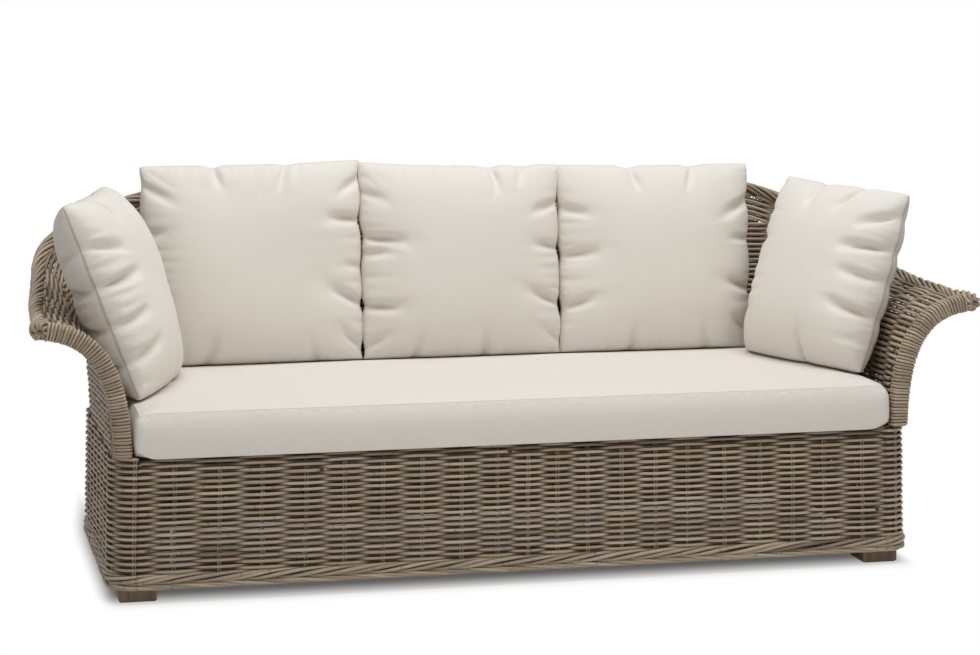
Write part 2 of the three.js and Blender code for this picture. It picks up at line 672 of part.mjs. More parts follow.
function addUpperWeave() {
  const stretch = (from, to) => (along, up) => upperSurface(from + (to - from) * along, up);
  const upCount = 8;
  const footLength = 2 * upperPlan.getLength();
  const pitch = (footLength - 2 * FIRST_STAKE_INSET) / (UPPER_STAKE_PAIRS - 1);
  const ribs = ribPlaces(footLength, FIRST_STAKE_INSET, pitch).map((place) => place / footLength);
  const thickness = (from, to) => (along) => (
    weaveThickness((from + (to - from) * along) * footLength, FIRST_STAKE_INSET, pitch));
  const ribStops = (from, to) => ribs.map((share) => (share - from) / (to - from))
    .filter((stop) => stop > 0 && stop < 1);

  // The arm runs straight back and then round the corner, which takes more stops
  const arcCount = 8;
  const cornerShare = upperPlan.getCurveLengths()[0] / upperPlan.getLength() / 2 / armEnd;
  const cornerStops = evenStops(arcCount).map((stop) => cornerShare + stop * (1 - cornerShare));
  const armStops = mergedStops([0, ...cornerStops], ribStops(0, armEnd));
  const arm = subtract(layerGeometry(stretch(0, armEnd), armStops, upCount, thickness(0, armEnd)),
    rimGrooves);
  addMesh('arm_weave_right', arm, 'weave');
  addMesh('arm_weave_left', mirrored(arm), 'weave');
  const backEnd = 1 - backStart;
  const back = layerGeometry(stretch(backStart, backEnd),
    mergedStops([0, 1], ribStops(backStart, backEnd)), upCount, thickness(backStart, backEnd));
  addMesh('back_weave', subtract(back, rimGrooves), 'weave');

  for (const [label, piece] of Object.entries(rimPieces(RIM_DIAMETER))) {
    addMesh(`rim_braid_${label}`, piece, 'wrap');
  }
}

function addArmPoles() {
  const half = ARM_POLE_WIDTH / 2;
  const flat = half - ARM_POLE_ROUND;
  const section = new THREE.Shape();
  section.absarc(flat, flat, ARM_POLE_ROUND, 0, Math.PI / 2, false);
  section.absarc(-flat, flat, ARM_POLE_ROUND, Math.PI / 2, Math.PI, false);
  section.absarc(-flat, -flat, ARM_POLE_ROUND, Math.PI, 1.5 * Math.PI, false);
  section.absarc(flat, -flat, ARM_POLE_ROUND, 1.5 * Math.PI, 2 * Math.PI, false);
  const y = -half;
  const steps = 16;
  const curveSegments = 2;
  const start = new THREE.Vector3(ARM_POLE_X, y, BASE_WEAVE_TOP + CONTACT_GAP);
  const end = new THREE.Vector3(RIM_HALF_WIDTH, y, RIM_TIP_HEIGHT);
  const rise = start.clone().setZ(start.z + ARM_RISE);
  const reach = new THREE.Vector3(end.x - ARM_SCROLL, y, end.z - ARM_SCROLL_RISE);
  const pole = new THREE.ExtrudeGeometry(section, {
    extrudePath: new THREE.CubicBezierCurve3(start, rise, reach, end),
    steps,
    curveSegments,
    bevelEnabled: false,
  });
  const cut = RIM_HALF_WIDTH - RIM_DIAMETER / 2 - CONTACT_GAP;
  const beyond = blockGeometry([cut, RIM_FRONT - RIM_DIAMETER, RIM_TIP_HEIGHT - RIM_DIAMETER],
    [cut + 2 * RIM_DIAMETER, RIM_DIAMETER, RIM_TIP_HEIGHT + RIM_DIAMETER]);
  const seated = subtract(pole, [beyond, ...rimGrooves]);
  addMesh('arm_pole_right', seated, 'wrap');
  addMesh('arm_pole_left', mirrored(seated), 'wrap');
}

// Poles inside the back and its corners: they stand on the rear rail and follow the weave up
function addBackPoles() {
  const inward = WEAVE_THICKNESS / 2 + 2 * CONTACT_GAP + BACK_POLE_DIAMETER / 2;
  const straightBack = UPPER_HALF_WIDTH - UPPER_CORNER_RADIUS;
  const planLength = upperPlan.getLength();
  const middleShare = (planLength - BACK_POLE_OFFSET) / planLength / 2;
  const cornerShare = (planLength - straightBack - UPPER_CORNER_RADIUS * Math.PI / 4)
    / planLength / 2;
  const topShare = 1 - RIM_DIAMETER / (RIM_BACK_HEIGHT - BASE_WEAVE_TOP);
  const nudgeShare = 1e-3;
  const bends = 7;
  for (const [name, share] of [['corner_pole', cornerShare], ['back_pole', middleShare]]) {
    const points = evenStops(bends).map((stop) => {
      const up = stop * topShare;
      const along = upperSurface(share + nudgeShare, up).sub(upperSurface(share - nudgeShare, up));
      const rising = upperSurface(share, up + nudgeShare).sub(upperSurface(share, up));
      const outward = rising.cross(along).normalize();
      return upperSurface(share, up).addScaledVector(outward, -Math.sign(outward.y) * inward);
    });
    points.unshift(points[0].clone().setZ(RAIL_TOP_HEIGHT + CONTACT_GAP));
    const path = new THREE.CatmullRomCurve3(points, false, 'centripetal');
    const pole = barGeometry(path, BACK_POLE_DIAMETER, bends + 1);
    addMesh(`${name}_right`, pole, 'pole');
    addMesh(`${name}_left`, mirrored(pole), 'pole');
  }
}

// Moves the corners of a divided box by a function of their shares from -1 to 1 on each axis
function formGeometry(counts, place) {
  const box = new THREE.BoxGeometry(2, 2, 2, ...counts);
  box.deleteAttribute('normal');
  box.deleteAttribute('uv');
  const form = mergeVertices(box);
  const position = form.attributes.position;
  for (let k = 0; k < position.count; k += 1) {
    const shares = [position.getX(k), position.getY(k), position.getZ(k)];
    const crowded = shares.map((share) => Math.sin(share * Math.PI / 2));
    position.setXYZ(k, ...place(...crowded));
  }
  form.computeVertexNormals();
  return form;
}

const edgePower = 6;

// How far the seat cushion's top stands above its side height, by shares of its half sizes: the
// crown in the middle, less the rounding along its edges
function seatRise(u, v) {
  const crown = SEAT_CUSHION_CROWN * (1 - u ** 4) * (1 - v ** 4);
  const border = Math.max(Math.abs(u), Math.abs(v)) ** (4 * edgePower);
  return crown - SEAT_CUSHION_EDGE_ROUND / 2 * border;
}

// A boxed cushion: rounded plan corners, a crown on top, and upper and lower edges drawn in
function seatCushionGeometry() {
  const counts = [22, 10, 5];
  return formGeometry(counts, (u, v, w) => {
    const drawnIn = SEAT_CUSHION_EDGE_ROUND * Math.abs(w) ** edgePower;
    const halfX = SEAT_CUSHION_LENGTH / 2 - drawnIn;
    const halfY = SEAT_CUSHION_DEPTH / 2 - drawnIn;
    const corner = v < 0 ? SEAT_CUSHION_FRONT_CORNER : SEAT_CUSHION_REAR_CORNER;
    const flatX = halfX - corner;
    const flatY = halfY - corner;
    const x = u * halfX;
    const y = v * halfY;
    const beyondX = Math.max(Math.abs(x) - flatX, 0);
    const beyondY = Math.max(Math.abs(y) - flatY, 0);
    const beyond = Math.hypot(beyondX, beyondY);
    const round = beyond > 0 ? Math.max(beyondX, beyondY) / beyond : 1;
    const raised = w > 0 ? w ** edgePower * seatRise(u, v) : 0;
    return [
      Math.sign(x) * (Math.min(Math.abs(x), flatX) + beyondX * round),
      Math.sign(y) * (Math.min(Math.abs(y), flatY) + beyondY * round),
      SEAT_CUSHION_HEIGHT * (w + 1) / 2 + raised,
    ];
  });
}

// A knife-edge cushion standing on its lower edge: x across, y through, z up. It is thickest in the
// middle, thins to the seam, and its sides are drawn in between the corners.
function pillowGeometry(width, height, thickness) {
  const counts = [15, 1, 15];
  const swellPower = 2.2;
  const fullness = 0.55;
  return formGeometry(counts, (u, v, w) => {
    const swellU = (1 - Math.abs(u) ** swellPower) ** fullness;
    const swellW = (1 - Math.abs(w) ** swellPower) ** fullness;
    const halfThickness = (thickness - PILLOW_SEAM_THICKNESS) / 2 * swellU * swellW;
    return [
      u * (width / 2 - PILLOW_SIDE_INSET * (1 - w * w) * u * u),
      v * (PILLOW_SEAM_THICKNESS / 2 + halfThickness),
      height / 2 + w * (height / 2 - PILLOW_SIDE_INSET * (1 - u * u) * w * w),
    ];
  });
}

// Turns a pillow about its lower edge, then sets it down where it first meets the seat cushion
function standPillow(geometry, across, through, x, y, seatCushion) {
  const up = new THREE.Vector3().crossVectors(across, through);
  geometry.applyMatrix4(new THREE.Matrix4().makeBasis(across, through, up));
  geometry.translate(x, y, SEAT_CUSHION_BASE + 2 * SEAT_CUSHION_HEIGHT);
  const down = new THREE.Vector3(0, 0, -1);
  const corner = new THREE.Vector3();
  let drop = Infinity;
  for (let k = 0; k < geometry.attributes.position.count; k += 1) {
    corner.fromBufferAttribute(geometry.attributes.position, k);
    const [below] = new THREE.Raycaster(corner, down).intersectObject(seatCushion);
    if (below) drop = Math.min(drop, below.distance);
  }
  geometry.translate(0, 0, CONTACT_GAP - drop);
}

function addCushions() {
  const seat = seatCushionGeometry();
  seat.translate(0, (SEAT_CUSHION_FRONT + SEAT_CUSHION_REAR) / 2, SEAT_CUSHION_BASE);
  const seatCushion = addMesh('seat_cushion', seat, 'cloth');

  const widths = BACK_CUSHIONS.map(({ widthShare }) => widthShare * SEAT_CUSHION_LENGTH);
  const rowWidth = widths.reduce((sum, width) => sum + width + BACK_CUSHION_SPACING);
  let start = BACK_ROW_OFFSET - rowWidth / 2;
  BACK_CUSHIONS.forEach(({ name, heightShare }, index) => {
    const width = widths[index];
    const height = heightShare * BACK_CUSHION_HEIGHT;
    const cushion = pillowGeometry(width, height, BACK_CUSHION_THICKNESS);
    const across = new THREE.Vector3(1, 0, 0);
    const through = new THREE.Vector3(0, Math.cos(BACK_CUSHION_LEAN), -Math.sin(BACK_CUSHION_LEAN));
    standPillow(cushion, across, through, start + width / 2, UPPER_REAR - BACK_CUSHION_INSET,
      seatCushion);
    addMesh(name, cushion, 'cloth');
    start += width + BACK_CUSHION_SPACING;
  });

  for (const { name, side, insetShare, depthShare, heightShare, turn, leanShare } of ARM_PILLOWS) {
    const height = heightShare * ARM_PILLOW_HEIGHT;
    const pillow = pillowGeometry(ARM_PILLOW_WIDTH, height, ARM_PILLOW_THICKNESS);
    const x = UPPER_HALF_WIDTH - insetShare * ARM_PILLOW_THICKNESS;
    const y = SEAT_CUSHION_FRONT + depthShare * SEAT_CUSHION_DEPTH;
    const lean = Math.atan(leanShare * ARM_FLARE / RIM_TIP_RISE);
    // The lower edge runs back and inwards; the pillow leans out over the arm
    const across = new THREE.Vector3(side * Math.sin(turn), -Math.cos(turn), 0);
    const outward = new THREE.Vector3(side * Math.cos(turn), Math.sin(turn), 0);
    const through = outward.clone().multiplyScalar(Math.cos(lean)).setZ(-Math.sin(lean));
    if (side < 0) across.negate();
    standPillow(pillow, across, through, side * x, y, seatCushion);
    addMesh(name, pillow, 'cloth');
  }
}

for (const side of [-1, 1]) {
  addFootAndPost(side, true);
  addFootAndPost(side, false);
}
addRails();
addSeatDeck();
addBaseWeave();
addUpperWeave();
addArmPoles();
addBackPoles();
addCushions();

const bounds = new THREE.Box3().setFromObject(sofa, true);
sofa.position.y = -(bounds.min.y + bounds.max.y) / 2;

export default sofa;
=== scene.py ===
"""A rattan garden sofa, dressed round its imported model.

Every strand of the woven base, arms and back is a round bar of its own that passes in front of and
behind pairs of thin stakes. The rims and the foot border are twisted from rods, the arm poles are
wound with cane, and the cushions are sewn from flat panels and filled by cloth simulation.

Metres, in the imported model's own frame: +Z up, the seat faces -Y, x = 0 in the middle of the sofa.
"""
import math

import bpy
import numpy as np
from mathutils import Matrix, Vector


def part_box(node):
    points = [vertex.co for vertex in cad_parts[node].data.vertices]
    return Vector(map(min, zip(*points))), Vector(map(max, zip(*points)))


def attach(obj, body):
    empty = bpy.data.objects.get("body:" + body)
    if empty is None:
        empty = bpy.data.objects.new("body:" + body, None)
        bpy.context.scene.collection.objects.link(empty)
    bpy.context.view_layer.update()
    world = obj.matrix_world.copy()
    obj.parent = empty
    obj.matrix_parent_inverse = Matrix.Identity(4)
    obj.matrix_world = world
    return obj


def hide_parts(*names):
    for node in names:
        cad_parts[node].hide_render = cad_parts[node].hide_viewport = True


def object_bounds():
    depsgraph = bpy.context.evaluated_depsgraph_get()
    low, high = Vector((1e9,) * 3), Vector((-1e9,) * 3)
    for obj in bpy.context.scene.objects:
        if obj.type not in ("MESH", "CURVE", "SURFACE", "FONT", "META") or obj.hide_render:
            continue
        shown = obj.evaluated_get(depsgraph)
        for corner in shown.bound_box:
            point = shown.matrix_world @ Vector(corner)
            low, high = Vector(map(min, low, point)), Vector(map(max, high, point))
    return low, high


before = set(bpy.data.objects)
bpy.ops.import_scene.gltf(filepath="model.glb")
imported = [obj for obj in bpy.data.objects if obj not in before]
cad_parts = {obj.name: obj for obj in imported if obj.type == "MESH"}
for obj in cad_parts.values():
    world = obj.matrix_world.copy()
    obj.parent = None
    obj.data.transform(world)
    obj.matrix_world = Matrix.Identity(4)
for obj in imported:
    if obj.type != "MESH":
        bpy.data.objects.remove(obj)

bl_info = {
    "name": "Rattan Sofa",
    "version": (1, 0, 0),
    "blender": (4, 5, 0),
    "location": "3D View > Sidebar > Sofa",
    "description": "Weaves, winds and upholsters a rattan garden sofa round its packed model",
    "category": "Object",
}

CAD_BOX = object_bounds()
TURN = 2 * math.pi
UPRIGHT = np.array([0, 0, 1])


def low(node):
    """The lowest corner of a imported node's box."""
    return np.array(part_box(node)[0])


def high(node):
    """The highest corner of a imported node's box."""
    return np.array(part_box(node)[1])


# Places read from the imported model
GROUND = float(CAD_BOX[0][2])
FEET_FRONT = low("foot_front_left")[1]
FRAME_HALF = high("corner_post_front_right")[0]
FRAME_REAR = high("seat_rail_rear")[1]
WEAVE_THICKNESS = (high("rear_weave") - low("rear_weave"))[1]
BASE_FRONT = low("front_apron_weave")[1] + WEAVE_THICKNESS / 2
BASE_REAR = high("rear_weave")[1] - WEAVE_THICKNESS / 2
BASE_TOP = high("rear_weave")[2]
APRON_TOP = high("front_apron_weave")[2]
BORDER_LOW = low("base_border_front")[2]
BORDER_HIGH = high("base_border_front")[2]
BORDER_THICKNESS = (high("base_border_front") - low("base_border_front"))[1]
APRON_HALF = high("front_apron_weave")[0]

# Sizes that the model was built with
BASE_CORNER_RADIUS = 0.055
BASE_HALF = FRAME_HALF + BASE_REAR - FRAME_REAR
BASE_FLARE = 0.010
APRON_ROUND_RADIUS = 0.022
UPPER_HALF = FRAME_HALF + 0.005
UPPER_REAR = FRAME_REAR + 0.004
UPPER_CORNER_RADIUS = 0.090
UPPER_START = FEET_FRONT + 0.0008
RIM_RADIUS = 0.017
RIM_FRONT = FEET_FRONT - 0.046
ARM_FLARE = 0.162
ARM_HEIGHT = 0.294
RIM_HALF = UPPER_HALF + ARM_FLARE
RIM_REAR = UPPER_REAR + 0.089
RIM_TIP_HEIGHT = BASE_TOP + ARM_HEIGHT
RIM_BACK_HEIGHT = BASE_TOP + 0.545
ARM_RISE = 0.200
ARM_SCROLL = 0.125
ARM_SCROLL_RISE = 0.008
BACK_RISE = 0.190
BACK_LEAN = 0.040
BACK_LEAN_RISE = 0.160
POLE_WIDTH = 0.044
POLE_X = UPPER_HALF - 0.0175
RIM_SHARES = np.array([
    (1, 0, 0),
    (0.979, 0.588, 0.103),
    (0.935, 0.91, 0.459),
    (0.818, 1.026, 0.721),
    (0.623, 1.026, 0.94),
    (0.35, 1.004, 1.002),
    (0, 1, 1),
])
ARM_SHARE = 0.235
TURN_SHARES = (0.08, 0.62)
CONTACT_GAP = 0.0003


# Curves and arrays

def unit(vectors):
    """The vectors at length one."""
    return vectors / np.linalg.norm(vectors, axis=-1, keepdims=True)


def smoothstep(value, start, end):
    """3s^2 - 2s^3 of the share s of the way from start to end, held at 0 and 1 outside."""
    share = np.clip((value - start) / (end - start), 0, 1)
    return share * share * (3 - 2 * share)


def mix(start, end, share):
    """The value a share of the way from start to end."""
    return start + (end - start) * share


def distances(path):
    """How far each point of a path lies along it, from its first point."""
    steps = np.linalg.norm(np.diff(path, axis=0), axis=1)
    return np.concatenate([[0], np.cumsum(steps)])


def along(path, where):
    """Points at the distances `where` along a path, on straight lines between its points."""
    reach = distances(path)
    return np.stack([np.interp(where, reach, path[:, axis]) for axis in range(3)], axis=-1)


def smooth_path(points, per_span=40):
    """A centripetal Catmull-Rom curve. Each span is a Hermite cubic, and its end slopes blend the
    slopes of the chords beside it, each chord taking the square root of its length as its time."""
    points = np.vstack([2 * points[0] - points[1], points, 2 * points[-1] - points[-2]])
    times = np.linalg.norm(np.diff(points, axis=0), axis=1)[:, None] ** 0.5
    before, start, end, after = points[:-3], points[1:-2], points[2:-1], points[3:]
    t0, t1, t2 = times[:-2], times[1:-1], times[2:]
    slope0 = ((start - before) / t0 - (end - before) / (t0 + t1) + (end - start) / t1) * t1
    slope1 = ((end - start) / t1 - (after - start) / (t1 + t2) + (after - end) / t2) * t1
    s = np.linspace(0, 1, per_span, endpoint=False)[None, :, None]
    curve = ((2 * s**3 - 3 * s**2 + 1) * start[:, None] + (s**3 - 2 * s**2 + s) * slope0[:, None]
             + (3 * s**2 - 2 * s**3) * end[:, None] + (s**3 - s**2) * slope1[:, None])
    return np.vstack([curve.reshape(-1, 3), points[-2]])


def bezier(start, rise, reach, end, s):
    """A cubic Bezier curve: each control point weighs by its Bernstein polynomial of s."""
    return ((1 - s)**3 * start + 3 * (1 - s)**2 * s * rise + 3 * (1 - s) * s**2 * reach
            + s**3 * end)


def wander(draws, where, strands, waves=((0.9, 1.0), (0.37, 0.6), (0.16, 0.35)), loop=None):
    """Smooth noise along many strands, from about -1 to 1: a sum of sines with these wavelengths
    and shares, each strand with its own phases. On a closed loop each wavelength fits it evenly."""
    total = sum(share for _, share in waves)
    noise = 0
    for length, share in waves:
        if loop:
            length = loop / round(loop / length)
        phase = draws.uniform(0, TURN, (strands, 1))
        noise = noise + share / total * np.sin(TURN * where / length + phase)
    return noise


# Surfaces that the weave lies on

class Sheet:
    """A surface of upright columns beside each other. A place on it is t, metres along its foot,
    and h, metres up the column there. Points and normals are read by straight lines between the
    grid's points, which are spread evenly up each column."""

    def __init__(self, columns, rows=120):
        reaches = [distances(column) for column in columns]
        self.heights = np.array([reach[-1] for reach in reaches])
        even = np.linspace(0, 1, rows)
        self.points = np.stack([along(column, even * height)
                                for column, height in zip(columns, self.heights)])
        across = np.gradient(self.points, axis=0)
        up = np.gradient(self.points, axis=1)
        self.normals = unit(np.cross(across, up))
        self.feet = distances(self.points[:, 0])
        self.length = self.feet[-1]

    def height(self, t):
        """The length of the column at t."""
        return np.interp(t, self.feet, self.heights)

    def at(self, t, h):
        """Points and normals at t and h."""
        t, h = np.broadcast_arrays(t, h)
        count, rows = self.points.shape[:2]
        i = np.interp(t, self.feet, np.arange(count))
        j = np.clip(h / self.height(t), 0, 1) * (rows - 1)
        i0 = np.minimum(i.astype(int), count - 2)
        j0 = np.minimum(j.astype(int), rows - 2)
        a = (i - i0)[..., None]
        b = (j - j0)[..., None]

        def read(grid):
            lower = grid[i0, j0] * (1 - a) + grid[i0 + 1, j0] * a
            upper = grid[i0, j0 + 1] * (1 - a) + grid[i0 + 1, j0 + 1] * a
            return lower * (1 - b) + upper * b

        return read(self.points), unit(read(self.normals))


def quarter(centre, radius, start, count=20):
    """A quarter circle in plan, anticlockwise from an angle."""
    angle = start + np.linspace(0, TURN / 4, count)
    x, y = centre
    return np.stack([x + radius * np.cos(angle), y + radius * np.sin(angle)], axis=1)


def base_sheet():
    """The base from the border's foot to the top of the weave, once round from the left end of the
    front. It flares a little towards the ground, and the apron rounds over on top of its rail."""
    side = BASE_HALF - BASE_CORNER_RADIUS
    front = BASE_FRONT + BASE_CORNER_RADIUS
    rear = BASE_REAR - BASE_CORNER_RADIUS
    plan = np.vstack([
        [(-side, BASE_FRONT)],
        quarter((side, front), BASE_CORNER_RADIUS, -TURN / 4),
        quarter((side, rear), BASE_CORNER_RADIUS, 0),
        quarter((-side, rear), BASE_CORNER_RADIUS, TURN / 4),
        quarter((-side, front), BASE_CORNER_RADIUS, TURN / 2),
    ])
    plan = np.column_stack([plan, np.zeros(len(plan))])
    step = 0.006
    total = distances(plan)[-1]
    plan = along(plan, np.linspace(0, total, round(total / step)))

    levels = 60
    upright = np.linspace(BORDER_LOW, BASE_TOP, levels)
    straight = np.column_stack([np.zeros(levels), upright])
    outer = APRON_ROUND_RADIUS + WEAVE_THICKNESS / 2
    turn = np.linspace(0, TURN / 4, levels // 2)
    apron = np.vstack([
        np.column_stack([np.zeros(levels // 2), np.linspace(BORDER_LOW, APRON_TOP - outer,
                                                            levels // 2, endpoint=False)]),
        np.column_stack([APRON_ROUND_RADIUS * (1 - np.cos(turn)),
                         APRON_TOP - outer + APRON_ROUND_RADIUS * np.sin(turn)]),
    ])
    is_apron = (np.abs(plan[:, 0]) < APRON_HALF) & (plan[:, 1] < BASE_FRONT + CONTACT_GAP)
    profile = np.where(is_apron[:, None, None], apron, straight)
    drop = (BASE_TOP - profile[..., 1]) / (BASE_TOP - BORDER_LOW)
    x = plan[:, :1] * (1 + BASE_FLARE / BASE_HALF * drop)
    y = plan[:, 1:2] + profile[..., 0]
    return Sheet(np.stack([x, y, profile[..., 1]], axis=-1))


def rim_path():
    """The middle of the rim, from the right arm's tip round the back to the left one."""
    spans = np.array([RIM_HALF, RIM_REAR - RIM_FRONT, RIM_BACK_HEIGHT - RIM_TIP_HEIGHT])
    points = spans * RIM_SHARES + np.array([0, RIM_FRONT, RIM_TIP_HEIGHT])
    return smooth_path(np.vstack([points, points[-2::-1] * (-1, 1, 1)]))


def upper_sheet(rim):
    """The arms and back: up each column a cubic runs from the foot to the middle of the rim. Its
    handles turn from the arm's scroll, which runs out sideways, to the back's lean."""
    side = UPPER_HALF - UPPER_CORNER_RADIUS
    rear = UPPER_REAR - UPPER_CORNER_RADIUS
    plan = np.vstack([
        [(UPPER_HALF, UPPER_START)],
        quarter((side, rear), UPPER_CORNER_RADIUS, 0),
        [(0, UPPER_REAR)],
    ])
    plan = np.column_stack([plan, np.full(len(plan), BASE_TOP + CONTACT_GAP)])
    foot_length = distances(plan)[-1]
    rim_length = distances(rim)[-1]
    start_share = (UPPER_START - RIM_FRONT) / rim_length
    columns, rows = 240, 160
    half = np.linspace(0, 1, columns)
    feet = along(plan, half * foot_length)[:, None]
    tops = along(rim, (start_share + (0.5 - start_share) * half) * rim_length)[:, None]
    blend = smoothstep(half, *TURN_SHARES)
    turn = blend * TURN / 4
    scroll = np.stack([ARM_SCROLL * np.cos(turn), BACK_LEAN * np.sin(turn),
                       mix(ARM_SCROLL_RISE, BACK_LEAN_RISE, blend)], axis=-1)[:, None]
    rise = np.stack([0 * half, 0 * half, mix(ARM_RISE, BACK_RISE, blend)], axis=-1)[:, None]
    up = np.linspace(0, 1, rows)[None, :, None]
    right = bezier(feet, feet + rise, tops - scroll, tops, up)
    return Sheet(np.concatenate([right, right[-2::-1] * (-1, 1, 1)]), rows)


# Meshes

class Bundle:
    """Meshes gathered into one: points, faces of any size, a UV for each face corner and a tone
    for each point."""

    def __init__(self):
        self.points = []
        self.faces = []
        self.uvs = []
        self.tones = []
        self.count = 0

    def add(self, points, faces, uvs, tones):
        """Takes points (n, 3), lists of face and UV arrays, and tones (n, 3)."""
        used = np.zeros(len(points), bool)
        for group in faces:
            used[group.ravel()] = True
        place = np.cumsum(used) - 1 + self.count
        self.points.append(points[used])
        self.tones.append(tones[used])
        self.faces += [place[group] for group in faces if len(group)]
        self.uvs += [uv for group, uv in zip(faces, uvs) if len(group)]
        self.count += int(used.sum())

    def mesh(self, name):
        mesh = bpy.data.meshes.new(name)
        points = np.concatenate(self.points)
        corners = np.concatenate([group.ravel() for group in self.faces])
        sizes = np.concatenate([np.full(len(group), group.shape[1]) for group in self.faces])
        starts = np.concatenate([[0], np.cumsum(sizes)[:-1]])
        mesh.vertices.add(len(points))
        mesh.vertices.foreach_set("co", points.astype(np.float32).ravel())
        mesh.loops.add(len(corners))
        mesh.loops.foreach_set("vertex_index", corners.astype(np.int32))
        mesh.polygons.add(len(sizes))
        mesh.polygons.foreach_set("loop_start", starts.astype(np.int32))
        mesh.polygons.foreach_set("use_smooth", sizes == 4)
        uv = np.concatenate([group.reshape(-1, 2) for group in self.uvs])
        mesh.uv_layers.new(name="along").data.foreach_set("uv", uv.astype(np.float32).ravel())
        tones = np.column_stack([np.concatenate(self.tones), np.ones(len(points))])
        mesh.attributes.new("tone", "FLOAT_COLOR", "POINT").data.foreach_set(
            "color", tones.astype(np.float32).ravel())
        mesh.update(calc_edges=True)
        return mesh


def dress(name, mesh, material, body, nodes):
    """Makes the piece, puts it on its body and hides the nodes that it stands for."""
    piece = bpy.data.objects.new(name, mesh)
    bpy.context.scene.collection.objects.link(piece)
    mesh.materials.append(material)
    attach(piece, body)
    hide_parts(*nodes)
    return piece


def add_bars(bundle, centres, outward, radii, tint, shade_depth=None, keep=None, sides=8, tangent=None):
    """Round bars along many paths at once, each closed by a flat face at both ends.

    The point at angle a of a ring is centre + radius (cos a outward + sin a side), where side is
    tangent x outward. centres and outward are (bars, rings, 3), radii and tint (bars, rings), and
    keep (bars, rings - 1) says which stretches of a bar are there. The depth in the weave (bars,
    rings) is where a ring lies, from -1 behind to 1 in front; what faces the weave's middle is
    darkened as painted shade, and without it every point gets a middle amount of that shade.
    A bar that goes on in another piece needs its own tangents, so that the rings there agree. A
    point's tone holds its tint, how far it faces out of the weave for the painted shade, and a
    number of its bar's own, its place in the bundle times the golden ratio."""
    golden_ratio = 0.61803
    bars, rings = centres.shape[:2]
    if tangent is None:
        tangent = unit(np.gradient(centres, axis=1))
    side = unit(np.cross(tangent, outward))
    outward = np.cross(side, tangent)
    angle = np.arange(sides) * TURN / sides
    spokes = (np.cos(angle)[:, None] * outward[:, :, None]
              + np.sin(angle)[:, None] * side[:, :, None])
    radii = np.broadcast_to(radii, (bars, rings))
    points = centres[:, :, None] + radii[:, :, None, None] * spokes
    keep = np.ones((bars, rings - 1), bool) if keep is None else keep

    first = (np.arange(bars)[:, None] * rings + np.arange(rings)) * sides
    around = np.arange(sides)
    onward = (around + 1) % sides
    near, far = first[:, :-1][keep][:, None], first[:, 1:][keep][:, None]
    quads = np.stack([near + around, near + onward, far + onward, far + around], axis=-1)
    padded = np.pad(keep, ((0, 0), (1, 1)))
    starts = first[~padded[:, :-1] & padded[:, 1:]][:, None]
    ends = first[padded[:, :-1] & ~padded[:, 1:]][:, None]
    caps = np.concatenate([starts + around[::-1], ends + around])

    steps = np.linalg.norm(np.diff(centres, axis=1), axis=-1)
    reach = np.pad(np.cumsum(steps, axis=1), ((0, 0), (1, 0)))
    girth = TURN * float(radii.mean())
    u0, u1 = reach[:, :-1][keep][:, None], reach[:, 1:][keep][:, None]
    v0, v1 = around / sides * girth, (around + 1) / sides * girth
    uv = np.stack([np.stack(np.broadcast_arrays(u, v), -1)
                   for u, v in ((u0, v0), (u0, v1), (u1, v1), (u1, v0))], axis=-2)
    cap_uv = np.broadcast_to(np.stack([np.cos(angle), np.sin(angle)], -1) * girth / TURN,
                             (len(caps), sides, 2))

    # Painted shade: each point keeps how far it faces out of the weave, and the rattan darkens what
    # faces the weave's middle; with no depth given, every point gets a middle amount of that shade.
    depth = np.zeros((bars, rings)) if shade_depth is None else shade_depth
    facing = depth[:, :, None] * np.cos(angle)
    tint = np.broadcast_to(tint, (bars, rings))
    tones = np.stack(np.broadcast_arrays(tint[:, :, None], facing * 0.5 + 0.5,
                                         np.arange(bars)[:, None, None] * golden_ratio % 1),
                     axis=-1)
    bundle.add(points.reshape(-1, 3), [quads.reshape(-1, 4), caps],
               [uv.reshape(-1, 4, 2), cap_uv], tones.reshape(-1, 3))


# Weave

class Pattern:
    """Sizes of a plain weave and the places of its stake pairs along the foot, numbered in order.
    A row passes in front of a pair when the row's number and the pair's add up to an even one."""

    def __init__(self, settings, places, girth=1.0, depth=1.0):
        self.radius = girth * settings.strand_diameter / 2
        self.row_pitch = settings.row_pitch
        self.stake_radius = settings.stake_diameter / 2
        self.stake_gap = settings.stake_spacing
        self.depth = depth
        self.reach = (WEAVE_THICKNESS / 2 - self.radius - CONTACT_GAP) * depth
        self.places = places
        self.numbers = np.arange(len(places)) - 2

    def number(self, t):
        """The number of the stake pair at t, with a part for the way to the next one."""
        return np.interp(t, self.places, self.numbers)

    def place(self, number):
        """Where the stake pair of that number stands."""
        return np.interp(number, self.numbers, self.places)

    def sway(self, t, rows):
        """From 1 in front to -1 behind: a cosine over two stake pairs, flattened at its peaks."""
        wave = np.cos(math.pi * self.number(t))[None] * (-1.0) ** rows[:, None]
        return wave * (1.25 - 0.25 * wave**2)


def stick_numbers(draws, pattern, t, rows):
    """Which stick of its row each ring belongs to. Sticks are 0.8 to 2 m long. Most end behind a
    stake pair, and a few just after they have passed in front of one, so that the cut end shows."""
    shortest, longest = 0.8, 2.0
    count = int((t[-1] - t[0]) / shortest) + 2
    ends = t[0] - draws.uniform(0, longest, (len(rows), 1)) + np.cumsum(
        draws.uniform(shortest, longest, (len(rows), count)), axis=1)
    stake = np.round(pattern.number(ends))
    stake += (stake + rows[:, None]) % 2
    shown, shown_share = 0.36, 0.07
    past = np.where(draws.random(stake.shape) < shown_share, shown, 1.0)
    ends = pattern.place(stake + past)
    return (t[None, :, None] > ends[:, None]).sum(axis=-1)


